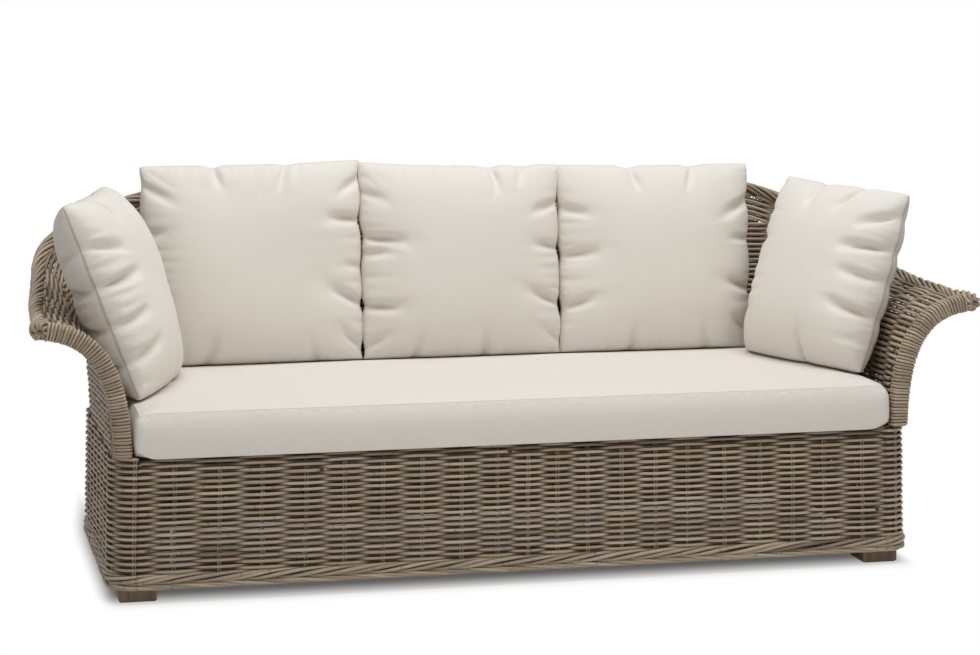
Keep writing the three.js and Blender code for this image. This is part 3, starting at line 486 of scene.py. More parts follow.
def woven_rows(sheet, pattern, draws, t, heights, rows, loop=None, tight=0.0):
    """Middles, outward directions, radii, tints, the depth in the weave that sets the painted shade,
    and kept stretches of the rows at these heights, an array of (rows, rings). A middle stands off
    the sheet by the pattern's reach times the sway. Where the weave is tight, its strands are
    thicker and keep nearer to the sheet, so that less light comes through. Where the sheet turns
    level, they lie up against its top."""
    lift_play, bulge_play, depth_play = 0.0006, 0.0009, 0.12
    nearer, thicker, top_share = 0.25, 0.20, 0.9
    thinnest, thickest = 0.92, 1.06
    sway = pattern.sway(t, rows)
    count = len(rows)
    lift = lift_play * wander(draws, t, count, loop=loop)
    bulge = bulge_play * wander(draws, t, count, ((0.31, 1.0), (0.13, 0.8)), loop)
    depth = 1 + depth_play * wander(draws, t, count, ((0.23, 1.0), (0.11, 0.8)), loop)
    depth = depth * (1 - nearer * tight)
    middle, normal = sheet.at(np.broadcast_to(t, heights.shape), heights + lift)
    level = top_share * np.clip(normal[..., 2], 0, 1)
    off = pattern.reach * mix(depth * sway, top_share, level) + bulge
    centres = middle + normal * off[..., None]
    stick = stick_numbers(draws, pattern, t, rows)
    if loop:
        stick[stick == stick[:, -1:]] = 0
    sticks = stick.max() + 1
    tints = np.take_along_axis(draws.random((count, sticks)), stick, axis=1)
    girths = draws.uniform(thinnest, thickest, (count, sticks))
    girths = np.take_along_axis(girths, stick, axis=1)
    girths = girths * (1 + thicker * tight)
    keep = stick[:, :-1] == stick[:, 1:]
    # The last part is each ring's place in the weave times the pattern's depth, which the rattan
    # turns into painted shade on what faces the weave's middle.
    parts = centres, normal, pattern.radius * girths, tints, np.clip(sway, -1, 1) * pattern.depth
    return parts, bar_tangents(centres, loop), keep


def bar_tangents(centres, loop):
    """The bars' directions at their rings. On a closed loop the last ring is the first again."""
    if loop:
        centres = np.concatenate([centres[:, -2:-1], centres, centres[:, 1:2]], axis=1)
    tangents = unit(np.gradient(centres, axis=1))
    return tangents[:, 1:-1] if loop else tangents


def add_rows(bundle, woven, inside, start, end):
    """The rows between two of their rings, where they are inside the weave."""
    parts, tangents, keep = woven
    keep = keep[:, start:end] & inside[:, start:end] & inside[:, start + 1:end + 1]
    add_bars(bundle, *(values[:, start:end + 1] for values in parts), keep,
             tangent=tangents[:, start:end + 1])


def add_stakes(bundle, sheet, pattern, draws, start, end, bottom, top_inset):
    """The pairs of thin stakes between two places along the foot, from a height up to the top less
    an inset. Their tints come from the darker half, painted shade for the shade that they stand in
    between the rows, and they get a middle amount of the rattan's painted shade."""
    rings, play, stake_shade_share = 48, 0.0006, 0.5
    places = (pattern.places[:, None] + np.array([-0.5, 0.5]) * pattern.stake_gap).ravel()
    places = places[(places > start) & (places < end)]
    t = np.repeat(places[:, None], rings, axis=1)
    tops = sheet.height(places)[:, None] - top_inset
    h = bottom + (tops - bottom) * np.linspace(0, 1, rings)
    t = t + play * wander(draws, h, len(places), ((0.2, 1.0), (0.09, 0.5)))
    middle, normal = sheet.at(t, h)
    # Painted shade: the stakes take only the darker half of the tints.
    tints = stake_shade_share * draws.random((len(places), 1))
    add_bars(bundle, middle, normal, pattern.stake_radius, tints, sides=6)


# The stake pairs of the apron, as shares of the base's half width from the middle
APRON_STAKE_SHARES = np.array([
    -0.862, -0.753, -0.650, -0.542, -0.448, -0.353, -0.255, -0.156, -0.066, 0.012,
    0.087, 0.165, 0.253, 0.341, 0.425, 0.521, 0.615, 0.702, 0.786, 0.889,
])


def base_layout(settings):
    """The base sheet, its pattern, and where the front, right, rear and left pieces begin and end.
    The apron's stake pairs have their own places, and the others are even round the rest."""
    sheet = base_sheet()
    front = 2 * (BASE_HALF - BASE_CORNER_RADIUS) * (1 + BASE_FLARE / BASE_HALF)
    side = sheet.length / 2 - front
    bounds = np.cumsum([0, front, side, front, side])
    apron = front / 2 + APRON_STAKE_SHARES * BASE_HALF
    rest = apron[0] + sheet.length - apron[-1]
    spaces = 2 * round(rest / settings.stake_pitch / 2 - 0.5) + 1
    others = apron[-1] + rest * np.arange(1, spaces) / spaces
    loop = np.concatenate([apron, others])
    places = np.concatenate([loop[-2:] - sheet.length, loop, loop[:2] + sheet.length])
    return sheet, Pattern(settings, places), bounds


BASE_PIECES = (
    ("apron_strands", "front_apron_weave"),
    ("side_strands_right", "side_weave_right"),
    ("rear_strands", "rear_weave"),
    ("side_strands_left", "side_weave_left"),
)
BORDER_PIECES = (
    ("border_twist_front", "base_border_front"),
    ("border_twist_right", "base_border_right"),
    ("border_twist_rear", "base_border_rear"),
    ("border_twist_left", "base_border_left"),
)


def ring_places(bounds, step):
    """Even places along each piece with a place at each bound, and where the pieces' own begin."""
    counts = [round((end - start) / step) for start, end in zip(bounds, bounds[1:])]
    runs = [np.linspace(start, end, count, endpoint=False)
            for start, end, count in zip(bounds, bounds[1:], counts)]
    return np.concatenate([*runs, bounds[-1:]]), np.cumsum([0, *counts])


def weave_base(settings, material):
    """The base: rows that run right round it, cut into four pieces at the bounds of the nodes. The
    weave is tight on the right and at the rear, from a corner's width inside their bounds."""
    corner, stake_foot, stake_inset = 0.12, 0.006, 0.001
    top_slack = 0.002
    sheet, pattern, bounds = base_layout(settings)
    draws = np.random.default_rng(settings.seed)
    t, cuts = ring_places(bounds, settings.ring_step)
    foot = BORDER_HIGH - BORDER_LOW
    tallest = sheet.heights.max()
    count = int((tallest - foot) / pattern.row_pitch)
    rows = np.arange(count)
    heights = foot + (rows[:, None] + 0.5) * pattern.row_pitch + 0 * t
    tight = (smoothstep(t, bounds[1], bounds[1] + corner)
             * (1 - smoothstep(t, bounds[3] - corner, bounds[3])))
    woven = woven_rows(sheet, pattern, draws, t, heights, rows, sheet.length, tight)
    inside = heights + pattern.radius < sheet.height(t) + top_slack
    spans = zip(BASE_PIECES, cuts, cuts[1:], bounds, bounds[1:])
    for (name, node), start, end, first, last in spans:
        bundle = Bundle()
        add_rows(bundle, woven, inside, start, end)
        add_stakes(bundle, sheet, pattern, draws, first, last, stake_foot, stake_inset)
        dress(name, bundle.mesh(name), material, "frame", (node,))


def twist_border(settings, material):
    """The border along the foot: a broad rope of rods above a narrow one that is laid the other
    way. A rod of a rope is at height middle + half height sin a and stands half thickness cos a
    proud, where a is its share of a turn plus t over the lay."""
    narrow_share, overlap, angle_play = 0.40, 0.003, 0.30
    stick_length, inner_shade_depth, thinnest, thickest = 0.9, 0.5, 0.9, 1.05
    sheet, _, bounds = base_layout(settings)
    draws = np.random.default_rng(settings.seed + 1)
    t, cuts = ring_places(bounds, settings.ring_step)
    radius = settings.border_rod_diameter / 2
    whole = BORDER_HIGH - BORDER_LOW
    narrow = narrow_share * whole
    ropes = ((5, narrow - overlap, whole, 1, 1.0), (4, 0.0, narrow, -1, 0.8))
    built = []
    for rods, bottom, top, hand, lay_share in ropes:
        turns = round(sheet.length / settings.border_lay / lay_share)
        shares = np.arange(rods)[:, None] / rods
        angle = hand * TURN * (shares + turns * t / sheet.length)
        angle = angle + angle_play * wander(draws, t, rods, ((0.9, 1.0), (0.37, 0.7)),
                                            sheet.length)
        half_height = (top - bottom) / 2 - radius
        half_thickness = BORDER_THICKNESS / 2 - radius
        upright = (bottom + top) / 2 + half_height * np.sin(angle)
        proud = (BORDER_THICKNESS - WEAVE_THICKNESS) / 2 + half_thickness * np.cos(angle)
        points, normal = sheet.at(np.broadcast_to(t, angle.shape), upright)
        centres = points + normal * proud[..., None]
        outward = np.cos(angle)[..., None] * normal + np.sin(angle)[..., None] * UPRIGHT
        girths = radius * draws.uniform(thinnest, thickest, (rods, 1))
        tints = draws.random((rods, round(sheet.length / stick_length)))
        sticks = t * tints.shape[1] / sheet.length * 0.999 + shares
        tints = np.take_along_axis(tints, sticks.astype(int) % tints.shape[1], axis=1)
        # Painted shade: the rods' sides that face the middle of the rope are darkened by the rattan.
        built.append(((centres, outward, np.broadcast_to(girths, angle.shape), tints,
                       np.full(angle.shape, inner_shade_depth)), bar_tangents(centres, True)))
    for (name, node), start, end in zip(BORDER_PIECES, cuts, cuts[1:]):
        bundle = Bundle()
        for rope, tangents in built:
            add_bars(bundle, *(values[:, start:end + 1] for values in rope),
                     tangent=tangents[:, start:end + 1])
        dress(name, bundle.mesh(name), material, "frame", (node,))


UPPER_PIECES = (
    ("arm_strands_right", "arm_weave_right"),
    ("back_strands", "back_weave"),
    ("arm_strands_left", "arm_weave_left"),
)


def weave_upper(settings, material):
    """The arms and back. Rows near the seat run level and rows near the rim run along it. Between
    them lie short rows, which fill the back where it is higher than the arms."""
    girth, depth, tuck, ring_spread = 1.2, 0.78, 0.003, 1.32
    first_stake, stake_foot, stake_inset = 0.073, 0.001, 0.004
    top_rows, least_share = 9, 0.35
    rim = rim_path()
    sheet = upper_sheet(rim)
    draws = np.random.default_rng(settings.seed + 2)
    pairs = 2 * round(sheet.length / settings.stake_pitch / 2)
    pitch = (sheet.length - 2 * first_stake) / (pairs - 1)
    pattern = Pattern(settings, first_stake + pitch * np.arange(-2, pairs + 2), girth, depth)
    rim_length = distances(rim)[-1]
    start_share = (UPPER_START - RIM_FRONT) / rim_length
    arm = (ARM_SHARE - start_share) / (0.5 - start_share) / 2 * sheet.length
    bounds = np.array([0, arm, sheet.length - arm, sheet.length])
    t, cuts = ring_places(bounds, settings.ring_step * ring_spread)
    height = sheet.height(t)
    under_rim = height - RIM_RADIUS - pattern.radius + tuck
    rim_rows = np.arange(top_rows)
    top_heights = under_rim - (top_rows - 1 - rim_rows[:, None]) * pattern.row_pitch
    room = top_heights[0] / pattern.row_pitch - 0.5
    low_count = math.ceil(room.max())
    low_rows = np.arange(low_count)
    share = np.clip(room - low_rows[:, None], 0, 1)
    low_heights = (low_rows[:, None] + share / 2) * pattern.row_pitch
    heights = np.concatenate([low_heights, top_heights])
    rows = np.concatenate([low_rows, low_count + rim_rows])
    woven = woven_rows(sheet, pattern, draws, t, heights, rows)
    inside = np.concatenate([share > least_share, np.ones_like(top_heights, bool)])
    spans = zip(UPPER_PIECES, cuts, cuts[1:], bounds, bounds[1:])
    for (name, node), start, end, first, last in spans:
        bundle = Bundle()
        add_rows(bundle, woven, inside, start, end)
        add_stakes(bundle, sheet, pattern, draws, first, last, stake_foot, stake_inset)
        dress(name, bundle.mesh(name), material, "frame", (node,))


# Rims and wound poles

RIM_PIECES = (
    ("rim_twist_right", "rim_braid_right"),
    ("rim_twist_back", "rim_braid_back"),
    ("rim_twist_left", "rim_braid_left"),
)


def path_frame(path):
    """The upward directions square to a path's tangents, and the directions beside it."""
    tangent = unit(np.gradient(path, axis=0))
    upward = unit(UPRIGHT - tangent * tangent[:, 2:3])
    return upward, np.cross(tangent, upward)


def twist_rims(settings, material):
    """The rims: eight rods round a core. They lie at a long lay along the back and arms, and turn
    faster towards the tips. The angle of the twist is the sum of TURN / lay along the rim. Towards
    a tip the rods stand further out, and at the tip they close as a quarter circle does."""
    rods, ring_spread, angle_play, out_play, inset = 8, 0.8, 0.22, 0.0005, 0.0002
    tip_lay, whole_lay, whole_swell, no_swell = 0.1, 0.7, 0.03, 0.14
    tip_swell, tip_round, tip_share, tip_girth = 0.0055, 0.020, 0.30, 0.25
    core_lap, core_tip_share, core_shade_depth = 0.002, 0.2, -0.9
    inner_shade_depth, core_tint, lowest_tint, thinnest, thickest = 0.30, 0.1, 0.2, 0.9, 1.04
    path = rim_path()
    total = distances(path)[-1]
    draws = np.random.default_rng(settings.seed + 3)
    bounds = np.array([0, ARM_SHARE, 1 - ARM_SHARE, 1]) * total
    t, cuts = ring_places(bounds, settings.ring_step * ring_spread)
    points = along(path, t)
    upward, beside = path_frame(points)
    from_tip = np.minimum(t, total - t)
    slowed = smoothstep(from_tip, tip_lay, whole_lay)
    lay = mix(settings.rim_tip_lay, settings.rim_lay, slowed)
    twist = np.cumsum(np.gradient(t) * TURN / lay)
    radius = settings.rim_rod_diameter / 2
    angle = TURN * np.arange(rods)[:, None] / rods + twist
    angle = angle + angle_play * wander(draws, t, rods, ((0.5, 1.0), (0.21, 0.7)))
    out = RIM_RADIUS - radius - inset + out_play * wander(
        draws, t, rods, ((0.3, 1.0), (0.12, 1.0)))
    swell = 1 - smoothstep(from_tip, whole_swell, no_swell)
    closed = np.sqrt(1 - np.clip(1 - from_tip / tip_round, 0, 1)**2)
    out = (out + tip_swell * swell) * mix(tip_share, 1, closed)
    outward = np.cos(angle)[..., None] * upward + np.sin(angle)[..., None] * beside
    centres = points + outward * out[..., None]
    girths = draws.uniform(thinnest, thickest, (rods, 1)) * (1 + tip_girth * swell * closed)
    tints = lowest_tint + (1 - lowest_tint) * draws.random((rods, 1))
    core_radius = (RIM_RADIUS - 2 * radius + core_lap + tip_swell * swell) * mix(
        core_tip_share, 1, closed)
    tangents = bar_tangents(centres, False)
    for (name, node), start, end in zip(RIM_PIECES, cuts, cuts[1:]):
        bundle = Bundle()
        part = slice(start, end + 1)
        rings = end + 1 - start
        # Painted shade: the rods' sides that face the rim's core are darkened by the rattan.
        add_bars(bundle, centres[:, part], outward[:, part], radius * girths[:, part], tints,
                 np.full((rods, rings), inner_shade_depth), tangent=tangents[:, part])
        # Painted shade: the core's outer half is painted the rattan's dark shade brown, for the
        # shade seen between the rods.
        add_bars(bundle, points[None, part], upward[None, part], core_radius[None, part],
                 core_tint, np.full((1, rings), core_shade_depth))
        dress(name, bundle.mesh(name), material, "frame", (node,))


def pole_path(count=200):
    """The middle of the right arm's pole, evenly spaced from the base to the rim's tip."""
    y = FEET_FRONT - POLE_WIDTH / 2
    start = np.array([POLE_X, y, BASE_TOP + CONTACT_GAP])
    end = np.array([RIM_HALF, y, RIM_TIP_HEIGHT])
    path = bezier(start, start + (0, 0, ARM_RISE), end - (ARM_SCROLL, 0, ARM_SCROLL_RISE), end,
                  np.linspace(0, 1, count)[:, None])
    length = distances(path)[-1] - RIM_RADIUS
    return along(path, np.linspace(0, length, count)), length


def wind_poles(settings, material):
    """The arm poles: cane wound in close turns round a rounded square. The middle of the cane is
    half width (c, s) from the pole's middle, where c and s are the cosine and sine of the turn,
    each drawn out by a power to square the circle, and it climbs one pitch a turn. Every five turns
    another cane begins."""
    per_turn, turns_per_cane, squareness = 28, 5, 0.55
    climb_play, proud_play, girth_play = 0.12, 0.0006, 0.06
    inner_shade_depth, core_lap, core_tint, core_shade_depth = 0.36, 0.001, 0.1, -0.9
    path, length = pole_path()
    tangent = unit(np.gradient(path, axis=0))
    across = np.array([0, 1.0, 0])
    radius = settings.cane_diameter / 2
    for side, label in ((1, "right"), (-1, "left")):
        draws = np.random.default_rng(settings.seed + 5 + side)
        turns = int(length / settings.cane_pitch)
        winding = np.arange(turns * per_turn + 1) / per_turn
        climb = (winding + climb_play * wander(
            draws, winding, 1, ((7.3, 1.0), (2.1, 1.0)))[0]) / turns
        climb = np.clip(climb, 0, 1)
        points = along(path, climb * length)
        outer = np.cross(across, unit(along_values(tangent, climb)))
        angle = TURN * winding
        c = np.sign(np.cos(angle)) * np.abs(np.cos(angle))**squareness
        s = np.sign(np.sin(angle)) * np.abs(np.sin(angle))**squareness
        half = POLE_WIDTH / 2 - radius
        proud = proud_play * wander(draws, winding, 1, ((1.7, 1.0), (0.6, 0.7)))[0]
        spoke = c[:, None] * outer + s[:, None] * across
        outward = unit(spoke)
        centres = points + half * spoke + outward * proud[:, None]
        cane = ((winding - 0.25) / turns_per_cane + 1).astype(int)
        turn = (winding + 0.75).astype(int)
        tints = 0.25 + 0.55 * draws.random(cane.max() + 1)[cane] + 0.2 * draws.random(
            turn.max() + 1)[turn]
        girth = 1 + girth_play * wander(draws, winding, 1, ((2.3, 1.0), (0.9, 1.0)))
        bundle = Bundle()
        flip = np.array([side, 1, 1])
        centres, outward, core = centres * flip, outward * flip, path * flip
        # Painted shade: the cane's side towards the pole is darkened by the rattan.
        add_bars(bundle, centres[None], outward[None], radius * girth, tints[None],
                 np.full((1, len(winding)), inner_shade_depth))
        # Painted shade: the pole's core, seen between the turns, has its outer half painted the
        # rattan's dark shade brown.
        add_bars(bundle, core[None], np.broadcast_to(across, core.shape)[None], half - core_lap,
                 core_tint, np.full((1, len(core)), core_shade_depth), sides=12)
        name = f"arm_pole_winding_{label}"
        dress(name, bundle.mesh(name), material, "frame", (f"arm_pole_{label}",))


def along_values(values, shares):
    """Values of an evenly spaced row at these shares of its length."""
    where = np.linspace(0, 1, len(values))
    return np.stack([np.interp(shares, where, values[:, axis]) for axis in range(3)], axis=-1)


# Cushions

def sewn_faces(columns, rows, levels):
    """Faces of a front and a rear panel, grids of columns x rows points, joined by a strip with
    that many rings of points between their edges, or sewn edge to edge where there are none. The
    points are the front panel's, the rear panel's and the strip's, and `source` lists those in
    use."""
    grid = np.arange(columns * rows).reshape(columns, rows)
    loop = np.concatenate([grid[:-1, 0], grid[-1, :-1], grid[:0:-1, -1], grid[0, :0:-1]])
    rear = grid + grid.size
    index = np.arange(2 * grid.size + levels * len(loop))
    if not levels:
        index[loop + grid.size] = loop
    front_faces = np.stack([grid[:-1, :-1], grid[1:, :-1], grid[1:, 1:], grid[:-1, 1:]], -1)
    rear_faces = np.stack([rear[:-1, :-1], rear[:-1, 1:], rear[1:, 1:], rear[1:, :-1]], -1)
    faces = [front_faces.reshape(-1, 4), rear_faces.reshape(-1, 4)]
    if levels:
        strip = 2 * grid.size + np.arange(levels * len(loop)).reshape(levels, len(loop))
        rings = np.concatenate([loop[None], strip, loop[None] + grid.size])
        onward = np.roll(rings, -1, axis=1)
        faces.append(np.stack([rings[1:], onward[1:], onward[:-1], rings[:-1]], -1).reshape(-1, 4))
    faces = index[np.concatenate(faces)]
    source, faces = np.unique(faces, return_inverse=True)
    return source, faces.reshape(-1, 4), loop


def cushion_mesh(name, points, faces, panel, seam):
    """A mesh with the flat panels as its UV map, in metres, and the distance from its seams."""
    mesh = bpy.data.meshes.new(name)
    mesh.from_pydata(points, [], faces)
    mesh.polygons.foreach_set("use_smooth", np.ones(len(faces), bool))
    uv = panel[faces].reshape(-1, 2)
    mesh.uv_layers.new(name="panel").data.foreach_set("uv", uv.astype(np.float32).ravel())
    mesh.attributes.new("seam", "FLOAT", "POINT").data.foreach_set(
        "value", seam.astype(np.float32))
    return mesh


def inflate(start, flat, faces, frames, pressure, bending, cap, held):
    """Fills a cover whose cloth was cut to the flat shape, by cloth simulation with pressure and
    no gravity. A move of length m becomes cap tanh(m / cap), so that no point goes further than the
    cap from its start, and those held stay there."""
    scene = bpy.context.scene
    mesh = bpy.data.meshes.new("cover_in_work")
    mesh.from_pydata(start, [], faces)
    cover = bpy.data.objects.new("cover_in_work", mesh)
    scene.collection.objects.link(cover)
    cover.shape_key_add(name="start")
    cut = cover.shape_key_add(name="cut")
    cut.data.foreach_set("co", flat.astype(np.float32).ravel())
    cloth = cover.modifiers.new("fill", "CLOTH")
    cloth.settings.rest_shape_key = cut
    cloth.settings.quality = 6
    cloth.settings.mass = 0.3
    cloth.settings.tension_stiffness = 15
    cloth.settings.compression_stiffness = 15
    cloth.settings.shear_stiffness = 5
    cloth.settings.bending_stiffness = bending
    cloth.settings.use_pressure = True
    cloth.settings.uniform_pressure_force = pressure
    cloth.settings.effector_weights.gravity = 0
    group = cover.vertex_groups.new(name="held")
    group.add(np.flatnonzero(held).tolist(), 1.0, "REPLACE")
    cloth.settings.vertex_group_mass = "held"
    cloth.settings.pin_stiffness = 1.0
    cloth.collision_settings.use_collision = False
    cloth.point_cache.frame_start = 1
    cloth.point_cache.frame_end = frames
    for number in range(1, frames + 1):
        scene.frame_set(number)
    filled = cover.evaluated_get(bpy.context.evaluated_depsgraph_get()).to_mesh()
    points = np.empty(len(start) * 3, np.float32)
    filled.vertices.foreach_get("co", points)
    move = points.reshape(-1, 3) - start
    reach = np.linalg.norm(move, axis=1, keepdims=True)
    move *= cap * np.tanh(reach / cap) / np.maximum(reach, 1e-9)
    bpy.data.objects.remove(cover)
    bpy.data.meshes.remove(mesh)
    scene.frame_set(1)
    return start + move


def turned(points, about_x, about_z):
    """The points turned about X, then about Z."""
    matrix = Matrix.Rotation(about_z, 3, "Z") @ Matrix.Rotation(about_x, 3, "X")
    return points @ np.array(matrix).T


def fitted(points, node):
    """The points moved and scaled to fill the node's box."""
    lowest, highest = points.min(axis=0), points.max(axis=0)
    return low(node) + (points - lowest) / (highest - lowest) * (high(node) - low(node))


SEAT_LEVELS = 13
SEAT_SEAM_INSET = 0.013
SEAT_FOOT_INSET = 0.005


def edge_dense(length):
    """Places from 0 to 1 that are closer together near both ends: s - 0.6 sin(TURN s) / TURN."""
    cell, gather = 0.009, 0.6
    s = np.linspace(0, 1, round(length / cell) + 1)
    return s - gather * np.sin(TURN * s) / TURN


def seat_layout():
    """The size of the seat's panels and the places of their columns and rows."""
    inset = 2 * SEAT_SEAM_INSET
    size = high("seat_cushion") - low("seat_cushion") - (inset, inset, 0)
    return size, edge_dense(size[0]), edge_dense(size[1])


def sew_seat(settings, material):
    """The seat cushion: two panels and a boxing strip between them. The panels have round corners
    and crown in the middle by (1 - a^4)(1 - b^4). The strip rolls from one to the other: at a share
    s of its height it stands out by the seams' inset times 1 - |2 s - 1|^3, and the rear panel
    reaches further out than the front one. The corners of both panels are drawn in by
    exp(-(way / spread)^2), and the front edge sags on to the weave below."""
    corner, roll, fall_depth = 0.007, 0.020, 0.006
    crown_height, crown_drop = 0.008, 0.008
    lift_height, lift_spread = 0.006, 0.022
    foot_lift_height, foot_lift_spread = 0.015, 0.024
    frames, pressure, bending, cap, ease_share = 12, 2.0, 0.6, 0.005, 0.3
    side_fill, sag_depth, sag_start, sag_width, sag_height = 0.002, 0.0085, 0.060, 0.030, 0.05
    size, across, deep = seat_layout()
    source, faces, loop = sewn_faces(len(across), len(deep), SEAT_LEVELS)
    a, b = np.meshgrid(across * 2 - 1, deep * 2 - 1, indexing="ij")
    half = size / 2
    inset = np.maximum(np.abs(a) * half[0] - (half[0] - corner), 0), np.maximum(
        np.abs(b) * half[1] - (half[1] - corner), 0)
    edge = np.maximum(np.hypot(*inset), 1e-9)
    squeeze = np.maximum(inset[0], inset[1]) / edge
    x = np.sign(a) * (np.abs(a) * half[0] - inset[0] * (1 - squeeze))
    y = np.sign(b) * (np.abs(b) * half[1] - inset[1] * (1 - squeeze))
    reach = np.minimum((1 - np.abs(a)) * half[0], (1 - np.abs(b)) * half[1])
    fall = fall_depth * (1 - smoothstep(reach, 0, roll))
    crown = crown_height * (1 - a**4) * (1 - b**4)
    off_corner = np.hypot(np.abs(x) - half[0], np.abs(y) - half[1])
    lift = lift_height * np.exp(-(off_corner / lift_spread)**2)
    foot_lift = foot_lift_height * np.exp(-(off_corner / foot_lift_spread)**2)
    top = half[2] - crown_drop + crown - fall - lift
    front = np.stack([x, y, top], -1).reshape(-1, 3)
    wider = 1 + (SEAT_SEAM_INSET - SEAT_FOOT_INSET) / half[:2]
    foot = fall * 0.2 + foot_lift - half[2]
    rear = np.stack([x * wider[0], y * wider[1], foot], -1).reshape(-1, 3)
    edge_front, edge_rear = front[loop], rear[loop]
    shares = np.arange(1, SEAT_LEVELS + 1) / (SEAT_LEVELS + 1)
    level = ((1 - np.cos(shares * math.pi)) / 2)[:, None, None]
    inner = (half - corner) * (1, 1, 0)
    out = unit((edge_front - np.clip(edge_front, -inner, inner)) * (1, 1, 0))
    stand_out = np.where(level < 0.5, SEAT_SEAM_INSET * (1 - np.abs(1 - 2 * level)**3),
                         mix(SEAT_SEAM_INSET, SEAT_FOOT_INSET, 2 * level - 1)
                         - SEAT_FOOT_INSET * (2 * level - 1)**5)
    middle = mix(edge_front, edge_rear, level)
    outline = mix(edge_front, edge_rear, np.maximum(2 * level - 1, 0))
    middle[..., :2] = outline[..., :2]
    strip = middle + stand_out * out
    start = np.concatenate([front, rear, strip.reshape(-1, 3)])

    flat_front = np.stack([a * half[0], b * half[1]], -1).reshape(-1, 2)
    around = distances(np.vstack([edge_front, edge_front[:1]]))[:-1]
    strip_flat = np.stack(np.broadcast_arrays(around, 0.1 * level[..., 0]), -1).reshape(-1, 2)
    panel = np.concatenate([flat_front, flat_front + (0, 3), strip_flat + (0, 5)])
    flat = start * (1 + settings.cloth_ease * ease_share)
    in_strip = np.minimum(level, 1 - level)[..., 0] * size[2]
    in_strip = np.broadcast_to(in_strip, (SEAT_LEVELS, len(loop)))
    seam = np.concatenate([np.tile(reach.ravel(), 2), in_strip.ravel()])

    start, flat, seam = start[source], flat[source], seam[source]
    points = inflate(start, flat, faces, frames, pressure, bending, cap, seam <= 0)
    points = fitted(points, "seat_cushion")
    points[:, 0] *= 1 + side_fill / high("seat_cushion")[0]
    sag_from = low("seat_cushion")[1] + sag_start
    sag = sag_depth * (1 - smoothstep(points[:, 1], sag_from - sag_width, sag_from))
    points[:, 2] -= sag * (1 - smoothstep(points[:, 2] - low("seat_cushion")[2], 0, sag_height))
    piece_mesh = cushion_mesh("seat_cushion_cover", points, faces, panel[source], seam)
    piece = dress("seat_cushion_cover", piece_mesh, material, "seat_cushion",
                  ("seat_cushion",))


def seat_height(x, y):
    """The height of the seat cushion's top at x, y, read between the points of its front panel."""
    _, across, deep = seat_layout()
    columns, rows = len(across), len(deep)
    mesh = bpy.data.objects["seat_cushion_cover"].data
    points = np.empty(len(mesh.vertices) * 3, np.float32)
    mesh.vertices.foreach_get("co", points)
    grid = points.reshape(-1, 3)[:columns * rows].reshape(columns, rows, 3)
    i = np.interp(x, grid[:, rows // 2, 0], np.arange(columns))
    j = np.interp(y, grid[columns // 2, :, 1], np.arange(rows))
    i0 = np.minimum(i.astype(int), columns - 2)
    j0 = np.minimum(j.astype(int), rows - 2)
    a, b = i - i0, j - j0
    z = grid[..., 2]
    return (z[i0, j0] * (1 - a) * (1 - b) + z[i0 + 1, j0] * a * (1 - b)
            + z[i0, j0 + 1] * (1 - a) * b + z[i0 + 1, j0 + 1] * a * b)


def gathers(draws, place, inward):
    """How far a seam gathers the cloth, from 0 to 1: the positive part of six waves along the seam,
    to the power of 1.5, fading by exp(-inward / fade) away from it."""
    shortest, longest, fade = 0.025, 0.070, 0.025
    waves = sum(draws.uniform(0.5, 1.0) * np.sin(TURN * place / draws.uniform(shortest, longest)
                                                 + draws.uniform(0, TURN)) for _ in range(6))
    return np.clip(waves / 2, 0, 1)**1.5 * np.exp(-inward / fade)


# How far the rear panel lies above the front one on the UV map, in metres
REAR_PANEL = 2
EDGES = {"left": (-1, 0), "right": (1, 0), "top": (0, 1), "bottom": (0, -1)}


